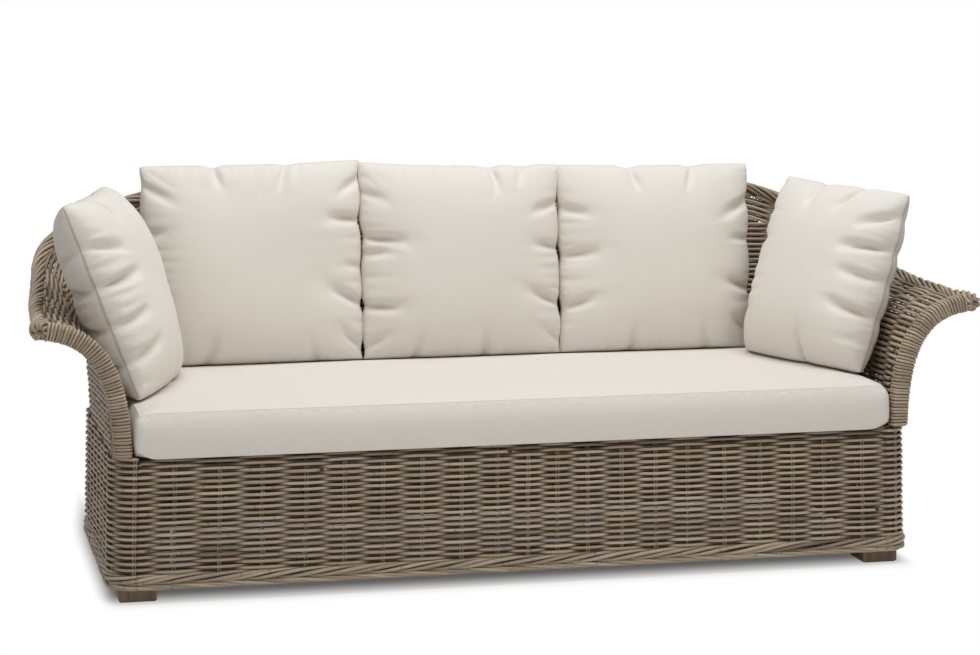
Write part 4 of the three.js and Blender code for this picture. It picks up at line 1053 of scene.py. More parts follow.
def pillow_form(width, height, thickness, seed, ears, pinches, bow=0.020, low_share=0.10,
                rear_share=1.0, rear_pull=0.5):
    """The start of a knife-edge pillow, its flat cut and its faces. At (a, b) from -1 to 1 over the
    panel, it is half as thick as the square root of (1 - |a|^3.4)(1 - |b|^3.4) says, and fuller low
    down by the low share. Its edges bow outwards between the corners, which are rounded off by
    1 - 0.021 (a b)^8, and its low edge hangs by ((1 - b) / 2)^2.

    A pinch (edge, place, length, pull, slant) is where the seam is drawn in by the pull. A valley
    of that length runs inwards from it: the thickness falls by exp(-(across / spread)^2), and the
    spread grows with the way in. An ear (side, end, out, up) is a corner drawn out and up, fading
    from it by the fourth power of the way over to the opposite edges. The rear has its own share of
    the thickness, and as much of the valleys as the rear pull says."""
    cell, fullness, unevenness = 0.0068, 3.4, 0.03
    side_gather, end_gather = 0.26, 0.20
    rounding_depth, hang = 0.021, 0.009
    valley_width, valley_growth, valley_gain, deepest, valley_start = 0.007, 0.055, 75, 0.72, 0.15
    drawn_narrow, drawn_wide, drawn_length = 0.014, 0.030, 0.035
    across = np.linspace(-1, 1, round(width / cell) + 1)
    up = np.linspace(-1, 1, round(height / cell) + 1)
    source, faces, _ = sewn_faces(len(across), len(up), 0)
    a, b = np.meshgrid(across, up, indexing="ij")
    draws = np.random.default_rng(seed)
    low_waves = sum(
        draws.uniform(-1, 1) * np.sin(draws.uniform(1.5, 4.5) * a + draws.uniform(1.5, 4.5) * b
                                      + draws.uniform(0, TURN)) for _ in range(5))
    full = np.sqrt(np.clip((1 - np.abs(a)**fullness) * (1 - np.abs(b)**fullness), 0, 1))
    smooth = thickness / 2 * full * (1 - low_share * b + unevenness * low_waves)
    thick = smooth
    panel = np.stack([a * width / 2, b * height / 2], -1)
    for side in (-1, 1):
        off_side, off_end = width / 2 * (1 + side * a), height / 2 * (1 + side * b)
        thick = thick * (1 - side_gather * gathers(draws, panel[..., 1], off_side))
        thick = thick * (1 - end_gather * gathers(draws, panel[..., 0], off_end))
    rounding = 1 - rounding_depth * (a * b)**8
    x = width / 2 * a * (1 + bow * (1 - b**2) * np.abs(a)**3) * rounding
    z = height / 2 * b * (1 + bow * (1 - a**2) * np.abs(b)**3) * rounding
    z = z - hang * ((1 - b) / 2)**2
    for edge, place, length, pull, slant in pinches:
        out = np.array(EDGES[edge])
        side = np.abs(out[::-1])
        start = (out + place * side) * (width / 2, height / 2)
        inward = unit(side * slant - out)
        aside = np.array([-inward[1], inward[0]])
        way = (panel - start) @ inward
        off = (panel - start) @ aside
        spread = valley_width + valley_growth * np.maximum(way, 0)
        fade = 1 - smoothstep(way, valley_start * length, length)
        valley = np.exp(-(off / spread)**2) * fade
        thick = thick * (1 - min(valley_gain * pull, deepest) * valley)
        drawn_spread = draws.uniform(drawn_narrow, drawn_wide)
        drawn = pull * np.exp(-(off / drawn_spread)**2) * np.exp(
            -np.maximum(way, 0) / drawn_length)
        x = x - out[0] * drawn
        z = z - out[1] * drawn
    for side, end, outward, upward in ears:
        near = ((1 + side * a) / 2 * (1 + end * b) / 2)**4
        x = x + side * outward * near
        z = z + upward * near
    front = np.stack([x, -thick * (2 - rear_share), z], -1).reshape(-1, 3)
    rear = np.stack([x, mix(smooth, thick, rear_pull) * rear_share, z], -1).reshape(-1, 3)
    panel = panel.reshape(-1, 2)
    seam = np.minimum(width / 2 * (1 - np.abs(a)), height / 2 * (1 - np.abs(b))).ravel()
    return (np.concatenate([front, rear])[source], faces,
            np.concatenate([panel, panel + (0, REAR_PANEL)])[source], np.tile(seam, 2)[source])


def sew_pillow(node, size, lean, turn, form, settings, material):
    """One loose cushion, filled, leant and turned, and pressed on to the seat where it stands. Its
    sides go no further than its CAD solid's, where it meets its neighbours. Both limits are soft:
    what is past one by d keeps softness ln(1 + exp(d / softness)) of it."""
    frames, bending, cap, side_room, side_softness = 22, 0.06, 0.028, 0.0005, 0.003
    seat_gap, seat_softness = 0.0006, 0.004
    start, faces, panel, seam = pillow_form(*size, *form)
    _, height, thickness = size
    ease = 1 + settings.cloth_ease
    upright = panel[:, 1] - REAR_PANEL * (panel[:, 1] > REAR_PANEL / 2)
    flat = np.column_stack([panel[:, 0] * ease, np.zeros(len(panel)), upright * ease])
    points = inflate(start, flat, faces, frames, settings.filling_pressure, bending, cap, seam <= 0)
    limit = np.abs(start[:, 0]).max() + side_room
    over = side_softness * np.logaddexp(0, (np.abs(points[:, 0]) - limit) / side_softness)
    points[:, 0] -= np.sign(points[:, 0]) * over
    points[:, 1] *= thickness / np.ptp(points[:, 1])
    points = turned(points, lean, turn)
    middle = (low(node) + high(node)) / 2
    points += (middle[0], middle[1], high(node)[2] - height / 2 * math.cos(lean))
    floor = seat_height(points[:, 0], points[:, 1]) + seat_gap
    above = (points[:, 2] - floor) / seat_softness
    points[:, 2] = floor + seat_softness * np.logaddexp(0, above)
    name = f"{node}_cover"
    piece = dress(name, cushion_mesh(name, points, faces, panel, seam), material, node,
                  (node,))
    smooth = piece.modifiers.new("round", "SUBSURF")
    smooth.levels = 1
    smooth.render_levels = 1


BACK_LEAN_ANGLE = math.radians(7.5)
# Node, size, seed, ears and pinches. An ear: side, end, out and up. A pinch: edge, place along it
# from -1 to 1, length, pull and slant
BACK_CUSHIONS = (
    ("back_cushion_left", (0.544, 0.492, 0.175), 11, (
        (-1, 1, 0.010, 0.009), (1, 1, 0.014, 0.017), (1, -1, 0.011, 0.0)), (
        ("left", 0.80, 0.10, 0.0070, -0.5), ("left", 0.30, 0.07, 0.0049, 0.2),
        ("left", -0.35, 0.07, 0.0042, 0.0), ("right", 0.83, 0.09, 0.0084, -0.6),
        ("right", 0.42, 0.11, 0.0098, 0.1), ("right", -0.05, 0.06, 0.0042, 0.2),
        ("right", -0.42, 0.12, 0.0084, 0.5), ("right", -0.86, 0.09, 0.0098, 0.7),
        ("top", -0.34, 0.07, 0.0084, 0.2), ("top", 0.32, 0.09, 0.0056, -0.4),
        ("bottom", -0.45, 0.09, 0.0056, 0.2), ("bottom", 0.55, 0.07, 0.0056, -0.3))),
    ("back_cushion_centre", (0.508, 0.480, 0.175), 12, (
        (-1, 1, 0.009, 0.024), (1, 1, 0.016, 0.008), (-1, -1, 0.012, 0.0), (1, -1, 0.012, 0.0)), (
        ("left", 0.70, 0.08, 0.0056, -0.2), ("left", 0.27, 0.13, 0.0098, -0.1),
        ("left", 0.10, 0.09, 0.0056, 0.1), ("left", -0.42, 0.11, 0.0098, -0.1),
        ("left", -0.86, 0.09, 0.0084, 0.6), ("right", 0.60, 0.10, 0.0070, -0.3),
        ("right", 0.12, 0.09, 0.0070, 0.2), ("right", -0.46, 0.12, 0.0084, 0.4),
        ("right", -0.85, 0.08, 0.0070, 0.6), ("top", 0.30, 0.09, 0.0070, 0.3),
        ("top", 0.62, 0.07, 0.0049, -0.2), ("bottom", 0.2, 0.08, 0.0056, 0.0),
        ("bottom", -0.5, 0.08, 0.0049, 0.2))),
    ("back_cushion_right", (0.508, 0.472, 0.175), 13, (
        (-1, 1, 0.005, 0.016), (1, 1, 0.011, 0.010), (-1, -1, 0.010, 0.0)), (
        ("left", 0.55, 0.09, 0.0070, -0.2), ("left", 0.05, 0.11, 0.0084, 0.1),
        ("left", -0.50, 0.10, 0.0084, 0.3), ("right", 0.62, 0.11, 0.0084, -0.5),
        ("right", 0.18, 0.08, 0.0056, 0.1), ("right", -0.35, 0.10, 0.0077, 0.3),
        ("right", -0.80, 0.08, 0.0070, 0.5), ("top", -0.25, 0.08, 0.0070, 0.2),
        ("top", 0.40, 0.08, 0.0056, -0.3), ("bottom", -0.3, 0.08, 0.0056, 0.1),
        ("bottom", 0.5, 0.08, 0.0049, -0.2))),
)
# Node, size, side, turn, share of the arm's slope, seed, the rest of the form (bow, low share, rear
# share and rear pull), ears and pinches
ARM_PILLOWS = (
    ("arm_pillow_left", (0.420, 0.466, 0.200), -1, math.radians(17.5), 0.6785, 14,
     (0.035, -0.10, 0.98, 0.8), (
        (1, 1, 0.012, 0.024), (-1, 1, 0.006, 0.013)), (
        ("left", 0.55, 0.11, 0.0070, -0.3), ("left", 0.15, 0.13, 0.0084, 0.1),
        ("left", -0.25, 0.10, 0.0063, 0.2), ("left", -0.62, 0.12, 0.0077, 0.3),
        ("right", 0.50, 0.09, 0.0063, -0.2), ("right", -0.10, 0.10, 0.0070, 0.1),
        ("right", -0.60, 0.09, 0.0063, 0.3), ("top", -0.45, 0.09, 0.0070, 0.3),
        ("top", 0.30, 0.10, 0.0070, -0.3), ("bottom", 0.1, 0.08, 0.0049, 0.0))),
    ("arm_pillow_right", (0.420, 0.448, 0.190), 1, math.radians(23.5), 0.6427, 15,
     (0.045, 0.08, 0.78, 0.25), (
        (-1, 1, 0.030, 0.028), (1, 1, 0.004, 0.008)), (
        ("left", 0.30, 0.06, 0.0030, -0.2), ("left", -0.55, 0.06, 0.0028, 0.3),
        ("right", 0.72, 0.10, 0.0077, -0.5),
        ("right", 0.35, 0.12, 0.0084, -0.1), ("right", 0.0, 0.10, 0.0063, 0.1),
        ("right", -0.40, 0.11, 0.0077, 0.2), ("top", -0.30, 0.09, 0.0070, 0.2),
        ("top", 0.35, 0.09, 0.0077, -0.3), ("bottom", 0.2, 0.08, 0.0056, 0.0))),
)


def sew_back_cushions(settings, material):
    """They stand side by side and lean on the back."""
    for node, size, seed, ears, pinches in BACK_CUSHIONS:
        form = (seed, ears, pinches)
        sew_pillow(node, size, -BACK_LEAN_ANGLE, 0, form, settings, material)


def sew_arm_pillows(settings, material):
    """They lean on the arms and face the middle of the seat, turned partly towards its front."""
    for node, size, side, turn, lean_share, seed, shares, ears, pinches in ARM_PILLOWS:
        lean = math.atan(lean_share * ARM_FLARE / ARM_HEIGHT)
        facing = -side * (TURN / 4 - turn)
        form = (seed, ears, pinches, *shares)
        sew_pillow(node, size, -lean, facing, form, settings, material)


# Materials

class Wire:
    """An output of a node. Arithmetic on wires and numbers adds Math nodes."""

    def __init__(self, shader, socket):
        self.shader = shader
        self.socket = socket

    def math(self, operation, *values):
        return self.shader.node("ShaderNodeMath", {"operation": operation}, dict(enumerate(values)))

    def __add__(self, other):
        return self.math("ADD", self, other)

    def __sub__(self, other):
        return self.math("SUBTRACT", self, other)

    def __rsub__(self, other):
        return self.math("SUBTRACT", other, self)

    def __mul__(self, other):
        return self.math("MULTIPLY", self, other)

    def __truediv__(self, other):
        return self.math("DIVIDE", self, other)

    __radd__ = __add__
    __rmul__ = __mul__

    def fraction(self):
        return self.math("FRACT", self)

    def size(self):
        return self.math("ABSOLUTE", self)

    def sine(self):
        return self.math("SINE", self)

    def rise(self, start, end, lowest=0.0, highest=1.0):
        """A smooth step from lowest to highest between start and end."""
        settings = {"interpolation_type": "SMOOTHSTEP"}
        inputs = {"Value": self, "From Min": start, "From Max": end, "To Min": lowest,
                  "To Max": highest}
        return self.shader.node("ShaderNodeMapRange", settings, inputs)


class Shader:
    """A material made of one Principled surface and what feeds it."""

    def __init__(self, name, roughness, **constants):
        self.material = bpy.data.materials.new(name)
        self.material.use_nodes = True
        self.tree = self.material.node_tree
        self.surface = self.tree.nodes["Principled BSDF"]
        self.feed(Roughness=roughness, **constants)

    def node(self, kind, settings=None, inputs=None, output=0):
        """Adds a node, its settings first, then its sockets' values or wires."""
        node = self.tree.nodes.new(kind)
        for key, value in (settings or {}).items():
            if key == "stops":
                ramp = node.color_ramp.elements
                while len(ramp) < len(value):
                    ramp.new(1)
                for stop, (place, colour) in zip(ramp, value):
                    stop.position = place
                    stop.color = (*colour, 1)
            else:
                setattr(node, key, value)
        for key, value in (inputs or {}).items():
            self.connect(node.inputs[key], value)
        return Wire(self, node.outputs[output])

    def connect(self, socket, value):
        if isinstance(value, Wire):
            self.tree.links.new(value.socket, socket)
        else:
            socket.default_value = value

    @classmethod
    def of_world(cls, name):
        shader = cls.__new__(cls)
        shader.material = bpy.data.worlds.new(name)
        shader.material.use_nodes = True
        shader.tree = shader.material.node_tree
        return shader

    def seen(self):
        """1 for rays that show the background: from the camera, off gloss and through glass."""
        rays = [self.node("ShaderNodeLightPath", None, None, name)
                for name in ("Is Camera Ray", "Is Glossy Ray", "Is Transmission Ray")]
        return rays[0] + rays[1] + rays[2]

    def blend(self, factor, first, second):
        return self.node("ShaderNodeMixShader", None, {0: factor, 1: first, 2: second})

    def show(self, surface):
        ends = ("OUTPUT_MATERIAL", "OUTPUT_WORLD")
        output = next(node for node in self.tree.nodes if node.type in ends)
        self.connect(output.inputs["Surface"], surface)

    def feed(self, **inputs):
        """Sets the surface's sockets, with _ for a space in a name."""
        for key, value in inputs.items():
            self.connect(self.surface.inputs[key.replace("_", " ")], value)

    def split(self, vector):
        inputs = {"Vector": vector}
        return [self.node("ShaderNodeSeparateXYZ", None, inputs, axis) for axis in range(3)]

    def times(self, vector, factors):
        return self.node("ShaderNodeVectorMath", {"operation": "MULTIPLY"}, {0: vector, 1: factors})

    def moved(self, vector, move):
        return self.node("ShaderNodeVectorMath", {"operation": "ADD"}, {0: vector, 1: move})

    def scaled(self, colour, wire):
        """A colour or vector times one number."""
        return self.node("ShaderNodeVectorMath", {"operation": "SCALE"}, {0: colour, "Scale": wire})

    def mix(self, factor, first, second):
        values = {0: factor, 6: first, 7: second}
        return self.node("ShaderNodeMix", {"data_type": "RGBA"}, values, 2)

    def noise(self, vector, scale=1.0, detail=2.0, roughness=0.5):
        return self.node("ShaderNodeTexNoise", None, {
            "Vector": vector, "Scale": scale, "Detail": detail, "Roughness": roughness}, "Fac")

    def ramp(self, factor, stops):
        return self.node("ShaderNodeValToRGB", {"stops": stops}, {"Fac": factor})

    def bump(self, height, strength, distance):
        normal = self.node("ShaderNodeBump", None, {
            "Strength": strength, "Distance": distance, "Height": height})
        self.feed(Normal=normal)

    def own_place(self):
        return self.node("ShaderNodeTexCoord", None, None, "Object")


def shade(colour, gain):
    """The colour made darker or lighter by one factor."""
    return tuple(channel * gain for channel in colour)


def rattan_material(name, settings, gain):
    """Peeled rattan: each stick has its own tint, with streaks along it, darker growth rings and
    small flecks. What faces the inside of the weave is darkened to a dark brown as painted shade.
    The noises of a stick have so many waves to the metre along it and across it, and a growth ring
    lies in each ring pitch."""
    waves, streaks, flecks = (2.6, 9.0, 1.0), (9.0, 520.0, 1.0), (70.0, 900.0, 1.0)
    apart, wave_tint, ring_pitch, ring_play = (3.0, 0.0, 47.0), 0.30, 0.31, 7.3
    ring_dark, darkest_shade, fleck_dark = 0.66, 0.02, 0.72
    shader = Shader(name, 0.6)
    tone = shader.node("ShaderNodeAttribute", {"attribute_name": "tone"}, None, "Vector")
    tint, facing, number = shader.split(tone)
    along_stick = shader.node("ShaderNodeUVMap", {"uv_map": "along"})
    place = shader.moved(along_stick, shader.times(tone, apart))
    main, light, dark, amber, rose = (shade(colour, gain) for colour in (
        settings.rattan_main, settings.rattan_light, settings.rattan_dark, settings.rattan_amber,
        settings.rattan_rose))
    wave = shader.noise(shader.times(place, waves), 1.0, 1.0)
    colour = shader.ramp(tint + wave_tint * (wave - 0.5), (
        (0.0, dark), (0.12, main), (0.30, light), (0.46, main), (0.58, rose), (0.68, main),
        (0.80, light), (0.90, main), (0.965, amber), (1.0, main)))
    streak = shader.noise(shader.times(place, streaks), 1.0, 3.0, 0.6)
    fleck = shader.noise(shader.times(place, flecks), 1.0, 1.0)
    u = shader.split(along_stick)[0]
    off_ring = ((u / ring_pitch + number * ring_play).fraction() - 0.5).size()
    ring = off_ring.rise(0.002, 0.012, ring_dark, 1.0)
    # Painted shade: what faces the middle of the weave, or of a rope, is darkened towards a dark
    # brown.
    painted_shade = (facing * 2 - 1).rise(-0.62, 0.48, darkest_shade, 1.0)
    gain_here = (streak * 0.75 + 0.62) * ring * fleck.rise(0.60, 0.74, 1.0, fleck_dark)
    shade_brown = (*shade((0.030, 0.018, 0.008), gain), 1)
    colour = shader.mix(painted_shade, shade_brown, shader.scaled(colour, gain_here))
    shader.feed(Base_Color=colour, Roughness=0.72 - 0.2 * streak)
    shader.bump(streak + 0.6 * ring, 0.5, 0.0004)
    return shader.material


def cloth_material(settings):
    """A plain-woven cream cloth: two sets of threads with slubs, a soft nap, faint mottling and
    creasing, and seams that sit in a sunken line with puckers beside it; that sunken line is also
    darkened as painted shade. Each noise has so many waves to the metre across the panel and up it."""
    slubs_across, slubs_up = (28.0, 900.0, 1.0), (900.0, 28.0, 1.0)
    mottles, puckers, creases = (9.0, 9.0, 1.0), (70.0, 70.0, 1.0), (16.0, 11.0, 1.0)
    groove_edge, groove_end, pucker_edge, pucker_end = 0.0002, 0.0013, 0.004, 0.030
    shader = Shader("cream_cushion_cloth", 0.9)
    shader.feed(Sheen_Weight=0.15, Sheen_Roughness=0.6, Specular_IOR_Level=0.25)
    panel = shader.node("ShaderNodeUVMap", {"uv_map": "panel"})
    u, v, _ = shader.split(panel)
    pitch = settings.thread_pitch
    warp = (u * (TURN / pitch)).sine()
    weft = (v * (TURN / pitch)).sine()
    slub = (shader.noise(shader.times(panel, slubs_across), 1.0, 2.0)
            + shader.noise(shader.times(panel, slubs_up), 1.0, 2.0)) * 0.5
    mottle = shader.noise(shader.times(panel, mottles), 1.0, 3.0)
    thread = warp * weft
    seam = shader.node("ShaderNodeAttribute", {"attribute_name": "seam"}, None, "Fac")
    seam_groove_and_shade = 1 - seam.rise(groove_edge, groove_end)
    pucker = (shader.noise(shader.times(panel, puckers), 1.0, 1.0) - 0.5) * (
        1 - seam.rise(pucker_edge, pucker_end))
    crease = shader.noise(shader.times(panel, creases), 1.0, 2.0, 0.45)
    # Painted shade: along the seams the colour is darkened by 30%, besides the sunken bump.
    light = 0.93 + 0.09 * slub + 0.04 * (mottle - 0.5) + 0.025 * thread - 0.30 * seam_groove_and_shade
    shader.feed(Base_Color=shader.scaled(tuple(settings.cloth_colour), light))
    shader.bump(thread * 0.3 + slub * 0.9 + pucker * 14 + crease * 7 - seam_groove_and_shade * 3, 0.35, 0.0009)
    return shader.material


def timber_material(name, colour, axis, contrast):
    """Straight-grained wood with its grain along one axis: so many waves to the metre across the
    grain and along it, and finer ones in the same direction."""
    across_grain, along_grain, finer = 58.0, 3.0, 5.5
    shader = Shader(name, 0.62)
    waves = np.full(3, across_grain)
    waves[axis] = along_grain
    place = shader.own_place()
    grain = shader.noise(shader.times(place, tuple(waves)), 1.0, 4.0, 0.62)
    fine = shader.noise(shader.times(place, tuple(finer * waves)), 1.0, 2.0)
    blotch = shader.noise(place, 7.0, 2.0)
    shader.feed(Base_Color=shader.mix(grain.rise(0.32, 0.68), (*shade(colour, 1 - contrast), 1),
                                      (*shade(colour, 1 + contrast), 1)),
                Roughness=0.75 - 0.25 * blotch)
    shader.bump(grain + 0.6 * fine, 0.4, 0.0009)
    return shader.material


def pole_material(settings):
    """A bare rattan pole with upright streaks and a dark growth ring in each ring pitch."""
    streaks, ring_pitch, ring_dark = (240.0, 240.0, 5.0), 0.21, 0.55
    shader = Shader("bare_rattan_pole", 0.55)
    place = shader.own_place()
    streak = shader.noise(shader.times(place, streaks), 1.0, 3.0)
    height = shader.split(place)[2]
    ring = ((height / ring_pitch).fraction() - 0.5).size().rise(0.004, 0.012, ring_dark, 1.0)
    colour = shader.mix(streak.rise(0.3, 0.7), (*settings.rattan_main, 1),
                        (*settings.rattan_light, 1))
    shader.feed(Base_Color=shader.scaled(colour, ring), Roughness=0.66 - 0.2 * streak)
    shader.bump(streak + ring, 0.4, 0.0006)
    return shader.material


def steel_material():
    """Zinc-plated steel with fine turning marks."""
    turning = (90.0, 90.0, 900.0)
    shader = Shader("zinc_steel", 0.35, Metallic=1.0)
    marks = shader.noise(shader.times(shader.own_place(), turning), 1.0, 2.0)
    shader.feed(Base_Color=shader.mix(marks, (0.52, 0.52, 0.50, 1), (0.68, 0.68, 0.66, 1)),
                Roughness=0.28 + 0.22 * marks)
    return shader.material


FRAME_TIMBERS = (
    ("bottom_rail_front", 0), ("bottom_rail_rear", 0), ("bottom_rail_left", 1),
    ("bottom_rail_right", 1), ("seat_rail_front", 0), ("seat_rail_rear", 0), ("seat_rail_left", 1),
    ("seat_rail_right", 1), ("centre_beam", 1), ("corner_post_front_left", 2),
    ("corner_post_front_right", 2), ("corner_post_rear_left", 2), ("corner_post_rear_right", 2),
    *((f"seat_slat_{number}", 1) for number in range(1, 10)),
)
FEET = ("foot_front_left", "foot_front_right", "foot_rear_left", "foot_rear_right")
BOLTS = ("foot_bolt_front_left", "foot_bolt_front_right", "foot_bolt_rear_left",
         "foot_bolt_rear_right")
BARE_POLES = ("back_pole_left", "back_pole_right", "corner_pole_left", "corner_pole_right")


def finish_node(name, material):
    """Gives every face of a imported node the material."""
    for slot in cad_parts[name].material_slots:
        slot.material = material


def finish_frame(settings):
    """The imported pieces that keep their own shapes: timber, feet, bolts and bare poles."""
    timber_contrast, foot_contrast = 0.22, 0.30
    grains = [timber_material(f"frame_timber_{label}", settings.timber_colour, axis,
                              timber_contrast) for axis, label in enumerate("xyz")]
    for name, axis in FRAME_TIMBERS:
        finish_node(name, grains[axis])
    foot = timber_material("foot_wood_dark", settings.foot_colour, 2, foot_contrast)
    for name in FEET:
        finish_node(name, foot)
    steel = steel_material()
    for name in BOLTS:
        finish_node(name, steel)
    pole = pole_material(settings)
    for name in BARE_POLES:
        finish_node(name, pole)


# Stage

def area_lamp(name, place, target, size, power, colour=(1, 1, 1)):
    """A rectangular soft lamp at a place, turned to face the target."""
    light = bpy.data.lights.new(name, "AREA")
    light.shape = "RECTANGLE"
    light.size, light.size_y = size
    light.energy = power
    light.color = colour
    lamp = bpy.data.objects.new(name, light)
    lamp.location = place
    lamp.rotation_euler = (Vector(target) - Vector(place)).to_track_quat("-Z", "Y").to_euler()
    bpy.context.scene.collection.objects.link(lamp)


def lay_floor(settings):
    """A pale floor that turns white away from the sofa: with the distance from a patch that holds
    the sofa and some floor behind it, where steps to the side count for more than steps in depth,
    and a little with the way behind the frame. In the patch a small share of the camera's white
    still shows, painted light that makes the sofa's shadow paler."""
    reach, behind, behind_white = 14.0, 0.9, 0.14
    fade_steps, fade_length, shadow_lift_glow = (2.2, 0.6, 1.0), 0.12, 0.09
    mesh = bpy.data.meshes.new("studio_floor")
    mesh.from_pydata([(-reach, -reach, GROUND), (reach, -reach, GROUND), (reach, reach, GROUND),
                      (-reach, reach, GROUND)], [], [(0, 1, 2, 3)])
    floor = bpy.data.objects.new("studio_floor", mesh)
    bpy.context.scene.collection.objects.link(floor)
    shader = Shader("pale_floor", 0.9, Specular_IOR_Level=0.1)
    shader.feed(Base_Color=(*settings.floor_colour, 1))
    place = shader.own_place()
    patch_half = (FRAME_HALF, FRAME_REAR + behind / 2, reach)
    beyond = shader.moved(place, (0.0, -behind / 2, 0.0))
    beyond = shader.node("ShaderNodeVectorMath", {"operation": "ABSOLUTE"}, {0: beyond})
    beyond = shader.node("ShaderNodeVectorMath", {"operation": "SUBTRACT"}, {
        0: beyond, 1: patch_half})
    beyond = shader.node("ShaderNodeVectorMath", {"operation": "MAXIMUM"}, {
        0: beyond, 1: (0.0, 0.0, 0.0)})
    beyond = shader.times(beyond, fade_steps)
    away = shader.node("ShaderNodeVectorMath", {"operation": "LENGTH"}, {0: beyond}, "Value")
    away += (shader.split(place)[1] - FRAME_REAR).rise(0.0, behind, 0.0, behind_white)
    white = shader.node("ShaderNodeEmission", None, {"Color": (1, 1, 1, 1), "Strength": 1.0},
                        "Emission")
    plain = Wire(shader, shader.surface.outputs[0])
    # Painted light: near and under the sofa a share of the camera's white still shows, which makes
    # the sofa's shadow paler.
    share = away.rise(0.0, fade_length, shadow_lift_glow, 1.0) * shader.seen()
    shader.show(shader.blend(share, plain, white))
    mesh.materials.append(shader.material)


def light_room(settings):
    """A soft pale room that the camera sees as white, and three soft lamps."""
    room = Shader.of_world("soft_room")
    bpy.context.scene.world = room.material
    soft = room.node("ShaderNodeBackground", None, {
        "Color": (1.0, 0.99, 0.975, 1), "Strength": settings.room_light}, "Background")
    bright = room.node("ShaderNodeBackground", None, {"Color": (1, 1, 1, 1), "Strength": 1.0},
                       "Background")
    room.show(room.blend(room.seen(), soft, bright))
    area_lamp("top_softbox", (0.1, -0.75, 3.7), (0, 0, 0.4), (3.4, 2.4), settings.top_light)
    area_lamp("low_softbox", (0.2, -2.9, 0.45), (0, 0, 0.25), (2.6, 0.7), settings.low_light,
              (1.0, 0.94, 0.84))
    area_lamp("side_softbox", (-3.6, -2.4, 2.0), (0, 0, 0.5), (1.8, 1.8), settings.side_light)


def place_camera():
    """The photograph's view: turned down by one angle and to the right by the other."""
    down, right = 7.98, 13.03
    camera = bpy.data.cameras.new("photo_view")
    camera.lens = 97.7
    camera.sensor_width = 36
    camera.sensor_fit = "HORIZONTAL"
    holder = bpy.data.objects.new("photo_view", camera)
    holder.location = (-1.449, -6.335, 1.461)
    holder.rotation_euler = (math.radians(90 - down), 0, math.radians(-right))
    bpy.context.scene.collection.objects.link(holder)
    bpy.context.scene.camera = holder


def set_stage(settings):
    """The floor, the lamps and the photograph's view."""
    bpy.context.scene.view_settings.view_transform = "Standard"
    lay_floor(settings)
    light_room(settings)
    place_camera()


# The add-on

class RattanSofaSettings(bpy.types.PropertyGroup):
    """Sizes and colours of the sofa's strands, cloth and timber, and the strength of its lights"""

    def length(name, description, default, low_end, high_end):
        return bpy.props.FloatProperty(
            name=name, description=description, default=default, min=low_end, max=high_end,
            subtype="DISTANCE", unit="LENGTH", precision=4)

    def colour(name, description, default):
        return bpy.props.FloatVectorProperty(
            name=name, description=description, default=default, min=0, max=1, subtype="COLOR")

    seed: bpy.props.IntProperty(
        name="Seed", description="Start of the draws for tints, wander and cut ends", default=4)
    strand_diameter: length("Strand", "Thickness of the woven strands", 0.0075, 0.003, 0.012)
    row_pitch: length("Row Pitch", "Height from one woven row to the next", 0.0071, 0.003, 0.014)
    stake_diameter: length("Stake", "Thickness of the stakes in the weave", 0.0040, 0.002, 0.008)
    stake_spacing: length("Stake Spacing", "Between the two stakes of a pair", 0.0058, 0.003, 0.015)
    stake_pitch: length("Stake Pitch", "From one pair of stakes to the next", 0.0885, 0.04, 0.16)
    ring_step: length("Ring Step", "Between the rings of points of a strand", 0.0095, 0.004, 0.02)
    border_rod_diameter: length(
        "Border Rod", "Thickness of the border's rods", 0.0088, 0.004, 0.014)
    border_lay: length("Border Lay", "Length of one turn of the border", 0.34, 0.1, 1.0)
    rim_rod_diameter: length("Rim Rod", "Thickness of the rim's rods", 0.0088, 0.005, 0.014)
    rim_lay: length("Rim Lay", "Length of one turn of the rim", 0.30, 0.08, 1.0)
    rim_tip_lay: length("Rim Tip Lay", "Length of one turn near the arm tips", 0.28, 0.05, 1.0)
    cane_diameter: length("Cane", "Thickness of the cane on the arm poles", 0.0070, 0.003, 0.01)
    cane_pitch: length("Cane Pitch", "Height of one turn of the cane", 0.0075, 0.003, 0.014)
    rattan_main: colour("Rattan", "Most of the strands", (0.335, 0.264, 0.187))
    rattan_light: colour("Rattan Light", "The paler strands", (0.470, 0.382, 0.280))
    rattan_dark: colour("Rattan Dark", "The darkest strands", (0.196, 0.144, 0.095))
    rattan_amber: colour("Rattan Amber", "The few orange strands", (0.352, 0.241, 0.132))
    rattan_rose: colour("Rattan Rose", "The pinkish strands", (0.356, 0.264, 0.198))
    foot_colour: colour("Feet", "Wood of the feet", (0.150, 0.100, 0.062))
    timber_colour: colour("Timber", "Wood of the frame inside", (0.36, 0.24, 0.135))
    cloth_colour: colour("Cloth", "Cloth of the cushions", (0.765, 0.728, 0.672))
    thread_pitch: length("Thread Pitch", "Between two threads of the cloth", 0.0013, 0.0004, 0.004)
    cloth_ease: bpy.props.FloatProperty(
        name="Ease", description="Share by which the cloth is cut larger than the filled cushion",
        default=0.10, min=0, max=0.3, subtype="FACTOR")
    filling_pressure: bpy.props.FloatProperty(
        name="Filling", description="Pressure that fills the loose cushions", default=4.0, min=0,
        max=20)
    floor_colour: colour("Floor", "The studio floor", (0.80, 0.80, 0.79))
    room_light: bpy.props.FloatProperty(
        name="Room Light", description="Strength of the light from all round", default=0.34, min=0)
    top_light: bpy.props.FloatProperty(
        name="Top Light", description="Power of the lamp above", default=98, min=0,
        subtype="POWER", unit="POWER")
    low_light: bpy.props.FloatProperty(
        name="Low Light", description="Power of the lamp low in front", default=9, min=0,
        subtype="POWER", unit="POWER")
    side_light: bpy.props.FloatProperty(
        name="Side Light", description="Power of the lamp at the left", default=2, min=0,
        subtype="POWER", unit="POWER")

    del length, colour


